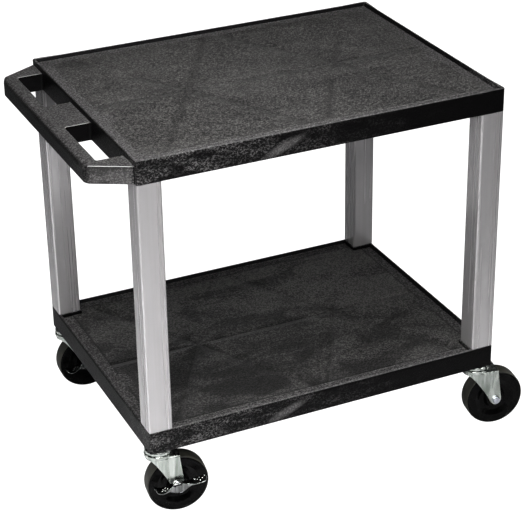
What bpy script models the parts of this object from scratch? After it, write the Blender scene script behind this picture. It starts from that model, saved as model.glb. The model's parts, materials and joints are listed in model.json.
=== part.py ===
"""Audio visual cart: two moulded tray shelves on square legs, rolling on four swivel casters.

Metres, +Z up. X runs along the cart from the push handle (-X) to the plain end (+X), and
Y runs across it from the front (-Y) to the back (+Y). The floor is at z = 0. The shelves are
laid out about their own centre, and the whole cart hangs under one empty that puts the middle
of its bounding box over the origin.
"""

import math

import bmesh
import bpy
from mathutils import Matrix, Vector

# Fits between neighbouring solids
FIT_GAP = 0.0003
WELD_DISTANCE = 0.00001
CUT_OVERRUN = 0.004

# Tray shelves
SHELF_WIDTH = 0.6096
SHELF_DEPTH = 0.4572
SKIRT_HEIGHT = 0.0380
SKIRT_WALL = 0.0040
SHELF_CORNER_RADIUS = 0.0040
SHELF_EDGE_RADIUS = 0.0012
LIP_HEIGHT = 0.0060
LIP_TOP_WIDTH = 0.0040
LIP_SLOPE_WIDTH = 0.0033
DECK_THICKNESS = 0.0040
BORDER_WIDTH = 0.0151
FIELD_RISE = 0.0005
FIELD_CORNER_RADIUS = 0.0200
TAB_OFFSET_Y = -0.0500
TAB_BASE_LENGTH = 0.0390
TAB_TIP_LENGTH = 0.0260
TAB_REACH = 0.0143
BOSS_SIDE = 0.0460
LEG_PAD_MARGIN = 0.0015

# Star ribs under each deck
RIB_THICKNESS = 0.0030
RIB_DROP = 0.0103
STAR_CORNER_MARGIN = 0.0428
STAR_CENTRE_SHIFT = 0.0040

# Reinforcing bars
BAR_WIDTH = 0.0190
BAR_THICKNESS = 0.0064
BAR_OFFSET_Y = 0.1180
SADDLE_LENGTH = 0.0140
SADDLE_THICKNESS = 0.0035
SADDLE_MARGIN = 0.0030

# Push handle moulded into the top shelf
HANDLE_REACH = 0.0632
HANDLE_BAR_WIDTH = 0.0220
HANDLE_DROP = 0.0086
HANDLE_FOOT_RISE = 0.0010
HANDLE_END_INSET = 0.0386
HANDLE_CORNER_RADIUS = 0.0150
HANDLE_GRIP_RADIUS = 0.0100
HANDLE_EDGE_RADIUS = 0.0020
BRIDGE_WIDTH = 0.0900
HAND_HOLE_END_MARGIN = 0.0486
HAND_HOLE_RADIUS = 0.0040
HANDLE_WALL = 0.0040

# Legs
LEG_SIDE = 0.0390
LEG_WALL = 0.0025
LEG_CORNER_RADIUS = 0.0035
LEG_INSET = 0.0002
LEG_VISIBLE_LENGTH = 0.4170
SPIGOT_LENGTH = 0.0350
SPIGOT_TIP_TAPER = 0.0020
SPIGOT_CORNER_RADIUS = 0.0020

# Casters
WHEEL_RADIUS = 0.0494
CROWN_CLEARANCE = 0.0042
WHEEL_WIDTH = 0.0290
TREAD_EDGE_RADIUS = 0.0045
RIM_BAND = 0.0110
DISH_SLOPE = 0.0030
WEB_THICKNESS = 0.0180
HUB_RADIUS = 0.0150
HUB_WIDTH = 0.0350
PLAIN_TRAIL = 0.0320
BRAKED_TRAIL = 0.0270
CASTER_YAWS_DEG = {"front_left": -8.0, "front_right": -9.0, "back_left": -3.0, "back_right": 4.0}
BRAKED_CORNERS = ("front_left", "back_left")

# Fork
FORK_HALF_WIDTH = 0.0205
FORK_PLATE = 0.0025
FORK_FOOT_RADIUS = 0.0105
FORK_TAIL_BEHIND_AXLE = 0.0025
FORK_BROW_DROP = 0.0040
FORK_BROW_X_SHARE = -0.78
FORK_BEND_RADIUS = 0.0030
FORK_THROAT_X_SHARE = -0.29
FORK_THROAT_Z_SHARE = 0.84

# Swivel head
RACE_RADIUS = 0.0225
RACE_HEIGHT = 0.0063
RACE_ROUND = 0.0018
UPPER_RACE_RADIUS = 0.0218
UPPER_RACE_TOP_RADIUS = 0.0195
UPPER_RACE_HEIGHT = 0.0054
BALL_RING_RADIUS = 0.0195
BALL_RING_BORE = 0.0120
BALL_RING_THICKNESS = 0.0009

# Stem and its socket
STEM_RADIUS = 0.0055
STEM_DEPTH = 0.0360
STEM_TIP_TAPER = 0.0015
RIVET_RADIUS = 0.0090
RIVET_THICKNESS = 0.0040
SLEEVE_WALL = 0.0025
SLEEVE_DEPTH = 0.0380

# Axle
AXLE_RADIUS = 0.0040
AXLE_HEAD_RADIUS = 0.0066
AXLE_HEAD_THICKNESS = 0.0042
AXLE_NUT_THICKNESS = 0.0058
AXLE_TAIL = 0.0018
SPACER_WALL = 0.0020
BUSH_WALL = 0.0030
BUSH_WIDTH = 0.0330

# Side brake
CAM_RADIUS = 0.0085
CAM_THICKNESS = 0.0025
PEDAL_PLATE = 0.0024
PEDAL_HUB_RADIUS = 0.0105
PEDAL_DEPTH = 0.0180
PEDAL_FRONT_REACH = 0.0455
PEDAL_REAR_REACH = 0.0405
PEDAL_PAD_LENGTH = 0.0210
PEDAL_RISE = 0.0095
PEDAL_NECK_DEPTH = 0.0110
PEDAL_WAVE = 0.0022
PEDAL_WAVES = 1.5
PEDAL_PAD_RADIUS = 0.0070
PEDAL_TILTS_DEG = {"front_left": -5.5, "back_left": -18.0}

# Facets of round shapes
CORNER_STEPS = 4
SMALL_STEPS = 2
WHEEL_STEPS = 32
HEAD_STEPS = 20
PIN_STEPS = 10
HEX_STEPS = 6
THROAT_STEPS = 5
PEDAL_STEPS = 14
FOOT_START_DEG = 210
FOOT_END_DEG = 362
SMOOTH_ANGLE_DEG = 32.0
LEVEL_SHARE = 0.5
ROUND_PROFILE = 0.5

# Heights and places that follow from the sizes above
DECK_BORDER_Z = SKIRT_HEIGHT - LIP_HEIGHT
DECK_UNDER_Z = DECK_BORDER_Z - DECK_THICKNESS
RIB_BOTTOM_Z = DECK_UNDER_Z - RIB_DROP
BAR_TOP_Z = RIB_BOTTOM_Z - FIT_GAP
BAR_BOTTOM_Z = BAR_TOP_Z - BAR_THICKNESS
HANDLE_TOP_Z = SKIRT_HEIGHT - HANDLE_DROP
CROWN_UNDER_Z = 2 * WHEEL_RADIUS + CROWN_CLEARANCE
CROWN_TOP_Z = CROWN_UNDER_Z + FORK_PLATE
RACE_TOP_Z = CROWN_UNDER_Z + RACE_HEIGHT
BALL_RING_BOTTOM_Z = RACE_TOP_Z + FIT_GAP
BALL_RING_TOP_Z = BALL_RING_BOTTOM_Z + BALL_RING_THICKNESS
UPPER_RACE_BOTTOM_Z = BALL_RING_TOP_Z + FIT_GAP
UPPER_RACE_TOP_Z = UPPER_RACE_BOTTOM_Z + UPPER_RACE_HEIGHT
CASTER_HEIGHT = UPPER_RACE_TOP_Z + FIT_GAP
BOTTOM_SHELF_Z = CASTER_HEIGHT
LEG_BOTTOM_Z = BOTTOM_SHELF_Z + SKIRT_HEIGHT
TOP_SHELF_Z = LEG_BOTTOM_Z + LEG_VISIBLE_LENGTH
LEG_CENTRE_X = SHELF_WIDTH / 2 - LEG_INSET - LEG_SIDE / 2
LEG_CENTRE_Y = SHELF_DEPTH / 2 - LEG_INSET - LEG_SIDE / 2
SPIGOT_SIDE = LEG_SIDE - 2 * LEG_WALL - 2 * FIT_GAP
LIP_FOOT_WIDTH = LIP_TOP_WIDTH + LIP_SLOPE_WIDTH
FIELD_INSET = LIP_FOOT_WIDTH + BORDER_WIDTH
SLEEVE_RADIUS = STEM_RADIUS + FIT_GAP + SLEEVE_WALL
HOLE_RADIUS = AXLE_RADIUS + FIT_GAP
SPACER_RADIUS = HOLE_RADIUS + SPACER_WALL
BUSH_RADIUS = SPACER_RADIUS + FIT_GAP + BUSH_WALL
STAR_OUTER_X = SHELF_WIDTH / 2 - STAR_CORNER_MARGIN
STAR_CENTRE_X = STAR_OUTER_X / 2 - STAR_CENTRE_SHIFT
HAND_HOLE_LENGTH = (SHELF_DEPTH - BRIDGE_WIDTH) / 2 - HAND_HOLE_END_MARGIN

CORNERS = {
    "front_left": (-1, -1),
    "front_right": (1, -1),
    "back_left": (-1, 1),
    "back_right": (1, 1),
}

# Finishes: base colour, roughness, metallic
FINISHES = {
    "shelf_plastic": ((0.030, 0.030, 0.031, 1.0), 0.62, 0.0),
    "leg_plastic": ((0.500, 0.480, 0.475, 1.0), 0.38, 0.0),
    "bar_aluminium": ((0.720, 0.730, 0.740, 1.0), 0.35, 1.0),
    "zinc_plate": ((0.560, 0.590, 0.570, 1.0), 0.28, 1.0),
    "stem_steel": ((0.500, 0.510, 0.520, 1.0), 0.30, 1.0),
    "bearing_steel": ((0.120, 0.120, 0.125, 1.0), 0.40, 1.0),
    "wheel_rubber": ((0.012, 0.012, 0.012, 1.0), 0.32, 0.0),
    "bush_nylon": ((0.600, 0.600, 0.560, 1.0), 0.45, 0.0),
    "socket_nylon": ((0.040, 0.040, 0.042, 1.0), 0.50, 0.0),
}


def clear_scene():
    for obj in list(bpy.data.objects):
        bpy.data.objects.remove(obj, do_unlink=True)


def make_collection(name):
    collection = bpy.data.collections.new(name)
    bpy.context.scene.collection.children.link(collection)
    return collection


def make_materials():
    materials = {}
    for name, (colour, roughness, metallic) in FINISHES.items():
        material = bpy.data.materials.new(name)
        material.use_nodes = True
        shader = material.node_tree.nodes["Principled BSDF"]
        shader.inputs["Base Color"].default_value = colour
        shader.inputs["Roughness"].default_value = roughness
        shader.inputs["Metallic"].default_value = metallic
        material.diffuse_color = colour
        materials[name] = material
    return materials


def arc_points(centre, radius, start_deg, end_deg, steps):
    """Points on an arc, both ends included."""
    points = []
    for step in range(steps + 1):
        angle = math.radians(start_deg + (end_deg - start_deg) * step / steps)
        points.append((centre[0] + radius * math.cos(angle), centre[1] + radius * math.sin(angle)))
    return points


def filleted(corners, steps=CORNER_STEPS):
    """An outline from (x, y, radius) corners, each rounded by an arc tangent to its two sides."""
    points = []
    count = len(corners)
    for index, (x, y, radius) in enumerate(corners):
        here = Vector((x, y))
        before = (Vector(corners[index - 1][:2]) - here).normalized()
        after = (Vector(corners[(index + 1) % count][:2]) - here).normalized()
        if radius <= 0:
            points.append((x, y))
            continue
        half = before.angle(after) / 2
        tangent_length = radius / math.tan(half)
        centre = here + (before + after).normalized() * (radius / math.sin(half))
        first = here + before * tangent_length - centre
        last = here + after * tangent_length - centre
        sweep = first.angle_signed(last)
        for step in range(steps + 1):
            turn = Matrix.Rotation(-sweep * step / steps, 2)
            spot = centre + turn @ first
            points.append((spot.x, spot.y))
    return points


def rectangle(width, depth, radius=0.0, centre=(0.0, 0.0), steps=CORNER_STEPS):
    right, left = centre[0] + width / 2, centre[0] - width / 2
    back, front = centre[1] + depth / 2, centre[1] - depth / 2
    return filleted([(left, front, radius), (right, front, radius),
                     (right, back, radius), (left, back, radius)], steps)


class Workshop:
    """Makes the solids, and keeps parts and cutters in their own collections."""

    def __init__(self, title):
        self.parts = make_collection(title)
        self.cutters = make_collection(title + "_cutters")
        self.materials = make_materials()
        self.scratch = []

    def mesh_object(self, name, mesh, collection=None):
        obj = bpy.data.objects.new(name, mesh)
        (collection or self.cutters).objects.link(obj)
        if collection is None:
            obj.hide_render = True
            obj.display_type = "WIRE"
            self.scratch.append(obj)
        return obj

    def box(self, name, low, high):
        """A block between two opposite corners."""
        bm = bmesh.new()
        size = Vector(high) - Vector(low)
        middle = (Vector(high) + Vector(low)) / 2
        matrix = Matrix.Translation(middle) @ Matrix.Diagonal(size).to_4x4()
        bmesh.ops.create_cube(bm, size=1, matrix=matrix)
        mesh = bpy.data.meshes.new(name)
        bm.to_mesh(mesh)
        bm.free()
        return self.mesh_object(name, mesh)

    def prism(self, name, outlines, low, high):
        """Flat outlines, an outer one and any holes, raised from z = low to z = high."""
        curve = bpy.data.curves.new(name, "CURVE")
        curve.dimensions = "2D"
        curve.fill_mode = "BOTH"
        curve.extrude = (high - low) / 2
        for outline in outlines:
            spline = curve.splines.new("POLY")
            spline.points.add(len(outline) - 1)
            for point, (x, y) in zip(spline.points, outline):
                point.co = (x, y, 0.0, 1.0)
            spline.use_cyclic_u = True
        obj = bpy.data.objects.new(name, curve)
        self.cutters.objects.link(obj)
        obj.location.z = (high + low) / 2
        bpy.context.view_layer.update()
        mesh = self.evaluated(obj)
        mesh.transform(obj.matrix_world)
        bpy.data.objects.remove(obj)
        return self.mesh_object(name, mesh)

    def side_prism(self, name, outlines, low, high):
        """Outlines in (x, z), raised along Y from y = low to y = high."""
        obj = self.prism(name, outlines, -high, -low)
        obj.data.transform(Matrix.Rotation(math.radians(90), 4, "X"))
        return obj

    def turned(self, name, profile, steps, axis="Z"):
        """A closed ring or a solid of revolution from (radius, height) points, top to bottom."""
        bm = bmesh.new()
        verts = [bm.verts.new((radius, 0.0, height)) for radius, height in profile]
        for start, end in zip(verts, verts[1:]):
            bm.edges.new((start, end))
        if min(radius for radius, _ in profile) > 0:
            bm.edges.new((verts[-1], verts[0]))
        mesh = bpy.data.meshes.new(name)
        bm.to_mesh(mesh)
        bm.free()
        obj = self.mesh_object(name, mesh)
        screw = obj.modifiers.new("Turn", "SCREW")
        screw.steps = steps
        screw.render_steps = steps
        screw.use_merge_vertices = True
        screw.merge_threshold = WELD_DISTANCE
        solid = self.evaluated(obj)
        obj.modifiers.clear()
        obj.data = solid
        if axis == "Y":
            obj.data.transform(Matrix.Rotation(math.radians(90), 4, "X"))
        return obj

    def evaluated(self, obj):
        """The object's finished mesh, welded."""
        depsgraph = bpy.context.evaluated_depsgraph_get()
        mesh = bpy.data.meshes.new_from_object(obj.evaluated_get(depsgraph))
        bm = bmesh.new()
        bm.from_mesh(mesh)
        bmesh.ops.remove_doubles(bm, verts=bm.verts, dist=WELD_DISTANCE)
        bm.to_mesh(mesh)
        bm.free()
        return mesh

    def combine(self, target, tools, operation):
        """Booleans of the target with each tool in turn, worked into the target's mesh."""
        for tool in tools:
            modifier = target.modifiers.new(operation.title(), "BOOLEAN")
            modifier.operation = operation
            modifier.object = tool
            modifier.solver = "EXACT"
        bpy.context.view_layer.update()
        mesh = self.evaluated(target)
        target.modifiers.clear()
        target.data = mesh
        return target

    def place(self, name, mesh, finish, parent=None, location=(0.0, 0.0, 0.0), rotation=(0.0, 0.0, 0.0)):
        """A finished part: its own object, with its finish, under its parent."""
        obj = self.mesh_object(name, mesh, self.parts)
        if not mesh.materials:
            mesh.materials.append(self.materials[finish])
        mesh.shade_smooth()
        mesh.set_sharp_from_angle(angle=math.radians(SMOOTH_ANGLE_DEG))
        obj.parent = parent
        obj.location = location
        obj.rotation_euler = rotation
        return obj

    def pivot(self, name, parent, location, rotation=(0.0, 0.0, 0.0)):
        empty = bpy.data.objects.new(name, None)
        self.parts.objects.link(empty)
        empty.empty_display_size = WHEEL_RADIUS
        empty.parent = parent
        empty.location = location
        empty.rotation_euler = rotation
        return empty

    def sweep_up(self):
        """Removes the working solids, whose shapes are in the parts' meshes by now."""
        for obj in self.scratch:
            bpy.data.objects.remove(obj)
        self.scratch = []
        bpy.data.collections.remove(self.cutters)


def round_edges(mesh, radius, wanted):
    """Bevels the mesh's edges that the test picks."""
    bm = bmesh.new()
    bm.from_mesh(mesh)
    edges = [edge for edge in bm.edges if wanted(edge)]
    bmesh.ops.bevel(bm, geom=edges, offset=radius, segments=SMALL_STEPS, profile=ROUND_PROFILE, affect="EDGES")
    bm.to_mesh(mesh)
    bm.free()


def on_rim(edge, height):
    """Whether the edge lies at this height, between a level face and an upright one."""
    level = all(abs(vert.co.z - height) < WELD_DISTANCE for vert in edge.verts)
    tilts = sorted(abs(face.normal.z) for face in edge.link_faces)
    return level and tilts[0] < LEVEL_SHARE < tilts[-1]


def rounded_block(shop, name, width, depth, height):
    """The shelf's outer block: rounded upright corners and a softened top edge."""
    obj = shop.prism(name, [rectangle(width, depth, SHELF_CORNER_RADIUS)], 0.0, height)
    round_edges(obj.data, SHELF_EDGE_RADIUS, lambda edge: on_rim(edge, height))
    return obj


def draft_block(shop, name, bottom_size, top_size, low, high):
    """A block whose top is wider than its bottom, for a recess with sloping walls."""
    bm = bmesh.new()
    bmesh.ops.create_cube(bm, size=1)
    for vert in bm.verts:
        size, height = (top_size, high) if vert.co.z > 0 else (bottom_size, low)
        half_x = math.copysign(size[0] / 2, vert.co.x)
        half_y = math.copysign(size[1] / 2, vert.co.y)
        vert.co = Vector((half_x, half_y, height))
    mesh = bpy.data.meshes.new(name)
    bm.to_mesh(mesh)
    bm.free()
    return shop.mesh_object(name, mesh)


def field_outline():
    """The textured field: a rounded rectangle, with a notch for the tab at each end."""
    half_x = SHELF_WIDTH / 2 - FIELD_INSET
    half_y = SHELF_DEPTH / 2 - FIELD_INSET
    inner_x = half_x - TAB_REACH
    low_base, high_base = TAB_OFFSET_Y - TAB_BASE_LENGTH / 2, TAB_OFFSET_Y + TAB_BASE_LENGTH / 2
    low_tip, high_tip = TAB_OFFSET_Y - TAB_TIP_LENGTH / 2, TAB_OFFSET_Y + TAB_TIP_LENGTH / 2
    return filleted([
        (-half_x, -half_y, FIELD_CORNER_RADIUS), (half_x, -half_y, FIELD_CORNER_RADIUS),
        (half_x, low_base, 0), (inner_x, low_tip, 0), (inner_x, high_tip, 0), (half_x, high_base, 0),
        (half_x, half_y, FIELD_CORNER_RADIUS), (-half_x, half_y, FIELD_CORNER_RADIUS),
        (-half_x, high_base, 0), (-inner_x, high_tip, 0), (-inner_x, low_tip, 0), (-half_x, low_base, 0),
    ])


def tray_recess(shop, leg_pads):
    """The recess inside the lip. The field stands a little proud of its floor, and on the
    bottom shelf a pad at lip height is left under each leg."""
    lip_slope_per_height = LIP_SLOPE_WIDTH / LIP_HEIGHT
    spread = 2 * CUT_OVERRUN * lip_slope_per_height
    bottom = (SHELF_WIDTH - 2 * LIP_FOOT_WIDTH, SHELF_DEPTH - 2 * LIP_FOOT_WIDTH)
    top = (SHELF_WIDTH - 2 * LIP_TOP_WIDTH + spread, SHELF_DEPTH - 2 * LIP_TOP_WIDTH + spread)
    recess = draft_block(shop, "recess", bottom, top, DECK_BORDER_Z, SKIRT_HEIGHT + CUT_OVERRUN)
    field = shop.prism("field", [field_outline()], DECK_BORDER_Z - CUT_OVERRUN, DECK_BORDER_Z + FIELD_RISE)
    keep = [field]
    if leg_pads:
        inner_x = LEG_CENTRE_X - LEG_SIDE / 2 - LEG_PAD_MARGIN
        inner_y = LEG_CENTRE_Y - LEG_SIDE / 2 - LEG_PAD_MARGIN
        for name, (side_x, side_y) in CORNERS.items():
            xs = sorted((side_x * inner_x, side_x * SHELF_WIDTH))
            ys = sorted((side_y * inner_y, side_y * SHELF_DEPTH))
            keep.append(shop.box("pad_" + name, (xs[0], ys[0], 0.0), (xs[1], ys[1], SHELF_WIDTH)))
    return shop.combine(recess, keep, "DIFFERENCE")


def rib_box(shop, name, start, end):
    """One straight rib between two points in plan, from its bottom edge up through the deck."""
    run = Vector(end) - Vector(start)
    half = RIB_THICKNESS / 2
    obj = shop.box(name, (0.0, -half, RIB_BOTTOM_Z), (run.length, half, SKIRT_HEIGHT))
    turn = Matrix.Rotation(math.atan2(run.y, run.x), 4, "Z")
    obj.data.transform(Matrix.Translation((start[0], start[1], 0.0)) @ turn)
    return obj


def under_hollow(shop):
    """The hollow under the deck, less the ribs, corner bosses and bar saddles."""
    half_x = SHELF_WIDTH / 2 - SKIRT_WALL
    half_y = SHELF_DEPTH / 2 - SKIRT_WALL
    hollow = shop.box("hollow", (-half_x, -half_y, -CUT_OVERRUN), (half_x, half_y, DECK_UNDER_Z))
    keep = []
    for side_x in (-1, 1):
        centre = (side_x * STAR_CENTRE_X, 0.0)
        for side_y in (-1, 1):
            for end_x in (0.0, side_x * STAR_OUTER_X):
                keep.append(rib_box(shop, "rib", centre, (end_x, side_y * SHELF_DEPTH / 2)))
    keep.append(rib_box(shop, "spine", (-SHELF_WIDTH / 2, 0.0), (SHELF_WIDTH / 2, 0.0)))
    for side_x, side_y in CORNERS.values():
        xs = sorted((side_x * (SHELF_WIDTH / 2 - BOSS_SIDE), side_x * SHELF_WIDTH))
        ys = sorted((side_y * (SHELF_DEPTH / 2 - BOSS_SIDE), side_y * SHELF_DEPTH))
        keep.append(shop.box("boss", (xs[0], ys[0], -SHELF_DEPTH), (xs[1], ys[1], SHELF_DEPTH)))
        saddle_xs = sorted((side_x * (half_x - SADDLE_LENGTH), side_x * SHELF_WIDTH))
        saddle_half = BAR_WIDTH / 2 + SADDLE_MARGIN
        saddle_top = BAR_BOTTOM_Z - FIT_GAP
        keep.append(shop.box(
            "saddle",
            (saddle_xs[0], side_y * BAR_OFFSET_Y - saddle_half, saddle_top - SADDLE_THICKNESS),
            (saddle_xs[1], side_y * BAR_OFFSET_Y + saddle_half, saddle_top)))
    return shop.combine(hollow, keep, "DIFFERENCE")


def spigot(shop, side_x, side_y, base_z, direction):
    """A square peg that fills a leg's end, tapered at its tip."""
    shoulder_z = SPIGOT_LENGTH - 2 * SPIGOT_TIP_TAPER
    plan = rectangle(SPIGOT_SIDE, SPIGOT_SIDE, SPIGOT_CORNER_RADIUS, steps=SMALL_STEPS)
    obj = shop.prism("spigot", [plan], -CUT_OVERRUN, shoulder_z)
    bm = bmesh.new()
    bm.from_mesh(obj.data)
    cap = [face for face in bm.faces if face.calc_center_median().z > shoulder_z - WELD_DISTANCE]
    tip = bmesh.ops.extrude_face_region(bm, geom=cap)
    bmesh.ops.delete(bm, geom=cap, context="FACES")
    shrink = 1 - 2 * SPIGOT_TIP_TAPER / SPIGOT_SIDE
    for vert in (item for item in tip["geom"] if isinstance(item, bmesh.types.BMVert)):
        vert.co = Vector((vert.co.x * shrink, vert.co.y * shrink, SPIGOT_LENGTH))
    for vert in bm.verts:
        vert.co.z = base_z + direction * vert.co.z
    bmesh.ops.recalc_face_normals(bm, faces=bm.faces)
    bm.to_mesh(obj.data)
    bm.free()
    obj.data.transform(Matrix.Translation((side_x * LEG_CENTRE_X, side_y * LEG_CENTRE_Y, 0.0)))
    return obj


def handle_solid(shop):
    """The push handle's outside: tapered in plan, with a rounded outer grip."""
    wall_x = -SHELF_WIDTH / 2
    outer_x = wall_x - HANDLE_REACH
    root_x = wall_x + 2 * SHELF_CORNER_RADIUS
    half_y = SHELF_DEPTH / 2
    end_y = half_y - HANDLE_END_INSET
    root_y = half_y - SHELF_CORNER_RADIUS * HANDLE_END_INSET / HANDLE_REACH
    outline = filleted([
        (root_x, -root_y, 0), (root_x, root_y, 0), (wall_x, root_y, 0),
        (outer_x, end_y, HANDLE_CORNER_RADIUS), (outer_x, -end_y, HANDLE_CORNER_RADIUS),
        (wall_x, -root_y, 0),
    ])
    handle = shop.prism("handle", [outline], -CUT_OVERRUN, HANDLE_TOP_Z + CUT_OVERRUN)
    section = filleted([
        (root_x + CUT_OVERRUN, HANDLE_FOOT_RISE, 0), (root_x + CUT_OVERRUN, HANDLE_TOP_Z, 0),
        (outer_x, HANDLE_TOP_Z, HANDLE_GRIP_RADIUS), (outer_x, HANDLE_FOOT_RISE, HANDLE_EDGE_RADIUS),
    ])
    grip = shop.side_prism("grip_section", [section], -SHELF_DEPTH, SHELF_DEPTH)
    return shop.combine(handle, [grip], "INTERSECT")


def handle_cuts(shop):
    """The two hand holes, and the pockets under the handle's three webs."""
    wall_x = -SHELF_WIDTH / 2
    half_y = SHELF_DEPTH / 2
    hole_width = HANDLE_REACH - HANDLE_BAR_WIDTH
    slope = HANDLE_END_INSET / HANDLE_REACH
    pocket_top = HANDLE_TOP_Z - HANDLE_WALL
    cuts = []
    for side in (-1, 1):
        centre = (wall_x - hole_width / 2, side * (BRIDGE_WIDTH + HAND_HOLE_LENGTH) / 2)
        hole = rectangle(hole_width, HAND_HOLE_LENGTH, HAND_HOLE_RADIUS, centre)
        cuts.append(shop.prism("hand_hole", [hole], -CUT_OVERRUN, HANDLE_TOP_Z + CUT_OVERRUN))
        pocket = rectangle(
            hole_width - HANDLE_WALL, BRIDGE_WIDTH / 2 - HANDLE_WALL * 3 / 2, HAND_HOLE_RADIUS / 2,
            (centre[0], side * (BRIDGE_WIDTH / 4 - HANDLE_WALL / 4)), SMALL_STEPS)
        cuts.append(shop.prism("bridge_pocket", [pocket], -CUT_OVERRUN, pocket_top))
        near_x, far_x = wall_x - HANDLE_WALL / 2, wall_x - hole_width
        near_y = BRIDGE_WIDTH / 2 + HAND_HOLE_LENGTH + HANDLE_WALL
        far_y = half_y - 2 * HANDLE_WALL
        end_pocket = [(near_x, side * near_y), (near_x, side * far_y),
                      (far_x, side * (far_y - slope * hole_width)), (far_x, side * near_y)]
        cuts.append(shop.prism("end_pocket", [end_pocket], -CUT_OVERRUN, pocket_top))
    return cuts


def build_top_shelf(shop, cart):
    shelf = rounded_block(shop, "top_block", SHELF_WIDTH, SHELF_DEPTH, SKIRT_HEIGHT)
    shop.combine(shelf, [handle_solid(shop)], "UNION")
    cuts = [tray_recess(shop, False), under_hollow(shop)] + handle_cuts(shop)
    shop.combine(shelf, cuts, "DIFFERENCE")
    spigots = [spigot(shop, side_x, side_y, 0.0, -1) for side_x, side_y in CORNERS.values()]
    shop.combine(shelf, spigots, "UNION")
    shop.place("top_shelf", shelf.data.copy(), "shelf_plastic", cart, (0.0, 0.0, TOP_SHELF_Z))


def build_bottom_shelf(shop, cart):
    shelf = rounded_block(shop, "bottom_block", SHELF_WIDTH, SHELF_DEPTH, SKIRT_HEIGHT)
    shop.combine(shelf, [tray_recess(shop, True), under_hollow(shop)], "DIFFERENCE")
    spigots = [spigot(shop, side_x, side_y, SKIRT_HEIGHT, 1) for side_x, side_y in CORNERS.values()]
    shop.combine(shelf, spigots, "UNION")
    bores = []
    bore_profile = rod_profile(SLEEVE_RADIUS + FIT_GAP, -CUT_OVERRUN, SLEEVE_DEPTH + 2 * FIT_GAP)
    for side_x, side_y in CORNERS.values():
        bore = shop.turned("socket_bore", bore_profile, PIN_STEPS)
        bore.data.transform(Matrix.Translation((side_x * LEG_CENTRE_X, side_y * LEG_CENTRE_Y, 0.0)))
        bores.append(bore)
    shop.combine(shelf, bores, "DIFFERENCE")
    shop.place("bottom_shelf", shelf.data.copy(), "shelf_plastic", cart, (0.0, 0.0, BOTTOM_SHELF_Z))


def build_legs(shop, cart):
    outer = rectangle(LEG_SIDE, LEG_SIDE, LEG_CORNER_RADIUS)
    inner_side = LEG_SIDE - 2 * LEG_WALL
    inner = rectangle(inner_side, inner_side, LEG_CORNER_RADIUS - LEG_WALL, steps=SMALL_STEPS)
    tube = shop.prism("leg_tube", [outer, inner], FIT_GAP, LEG_VISIBLE_LENGTH - FIT_GAP)
    for name, (side_x, side_y) in CORNERS.items():
        shop.place("leg_" + name, tube.data, "leg_plastic", cart,
                   (side_x * LEG_CENTRE_X, side_y * LEG_CENTRE_Y, LEG_BOTTOM_Z))


def build_bars(shop, cart):
    length = SHELF_WIDTH - 2 * SKIRT_WALL - 2 * FIT_GAP
    low = (-length / 2, -BAR_WIDTH / 2, BAR_BOTTOM_Z)
    high = (length / 2, BAR_WIDTH / 2, BAR_TOP_Z)
    bar = shop.box("bar", low, high)
    for shelf, shelf_z in (("top", TOP_SHELF_Z), ("bottom", BOTTOM_SHELF_Z)):
        for side, sign in (("front", -1), ("back", 1)):
            shop.place(shelf + "_bar_" + side, bar.data, "bar_aluminium", cart,
                       (0.0, sign * BAR_OFFSET_Y, shelf_z))


def rod_profile(radius, low, high):
    return [(0.0, high), (radius, high), (radius, low), (0.0, low)]


def ring_profile(bore, radius, low, high):
    return [(bore, high), (radius, high), (radius, low), (bore, low)]


def crown_plan(half_width, tail):
    """The fork seen from above: a half round at the front and straight sides behind it."""
    front = arc_points((0.0, 0.0), half_width, 90, 270, 3 * CORNER_STEPS)
    return front + [(tail, -half_width), (tail, half_width)]


def fork_side(trail):
    """The fork seen from the side: a short brow, a slanting front edge and a round foot."""
    brow = (FORK_HALF_WIDTH * FORK_BROW_X_SHARE, CROWN_UNDER_Z - FORK_BROW_DROP)
    throat_rise = (CROWN_TOP_Z - WHEEL_RADIUS) * FORK_THROAT_Z_SHARE
    throat = (FORK_HALF_WIDTH * FORK_THROAT_X_SHARE, WHEEL_RADIUS + throat_rise)
    foot = arc_points((trail, WHEEL_RADIUS), FORK_FOOT_RADIUS, FOOT_START_DEG, FOOT_END_DEG, 2 * CORNER_STEPS)
    front_x = -FORK_HALF_WIDTH - CUT_OVERRUN
    top_z = CROWN_TOP_Z + CUT_OVERRUN
    outline = [(front_x, brow[1])]
    for step in range(THROAT_STEPS):
        t = step / THROAT_STEPS
        upper = Vector(brow).lerp(Vector(throat), t)
        lower = Vector(throat).lerp(Vector(foot[0]), t)
        outline.append(tuple(upper.lerp(lower, t)))
    return outline + foot + [(trail + FORK_TAIL_BEHIND_AXLE, top_z), (front_x, top_z)]


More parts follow.
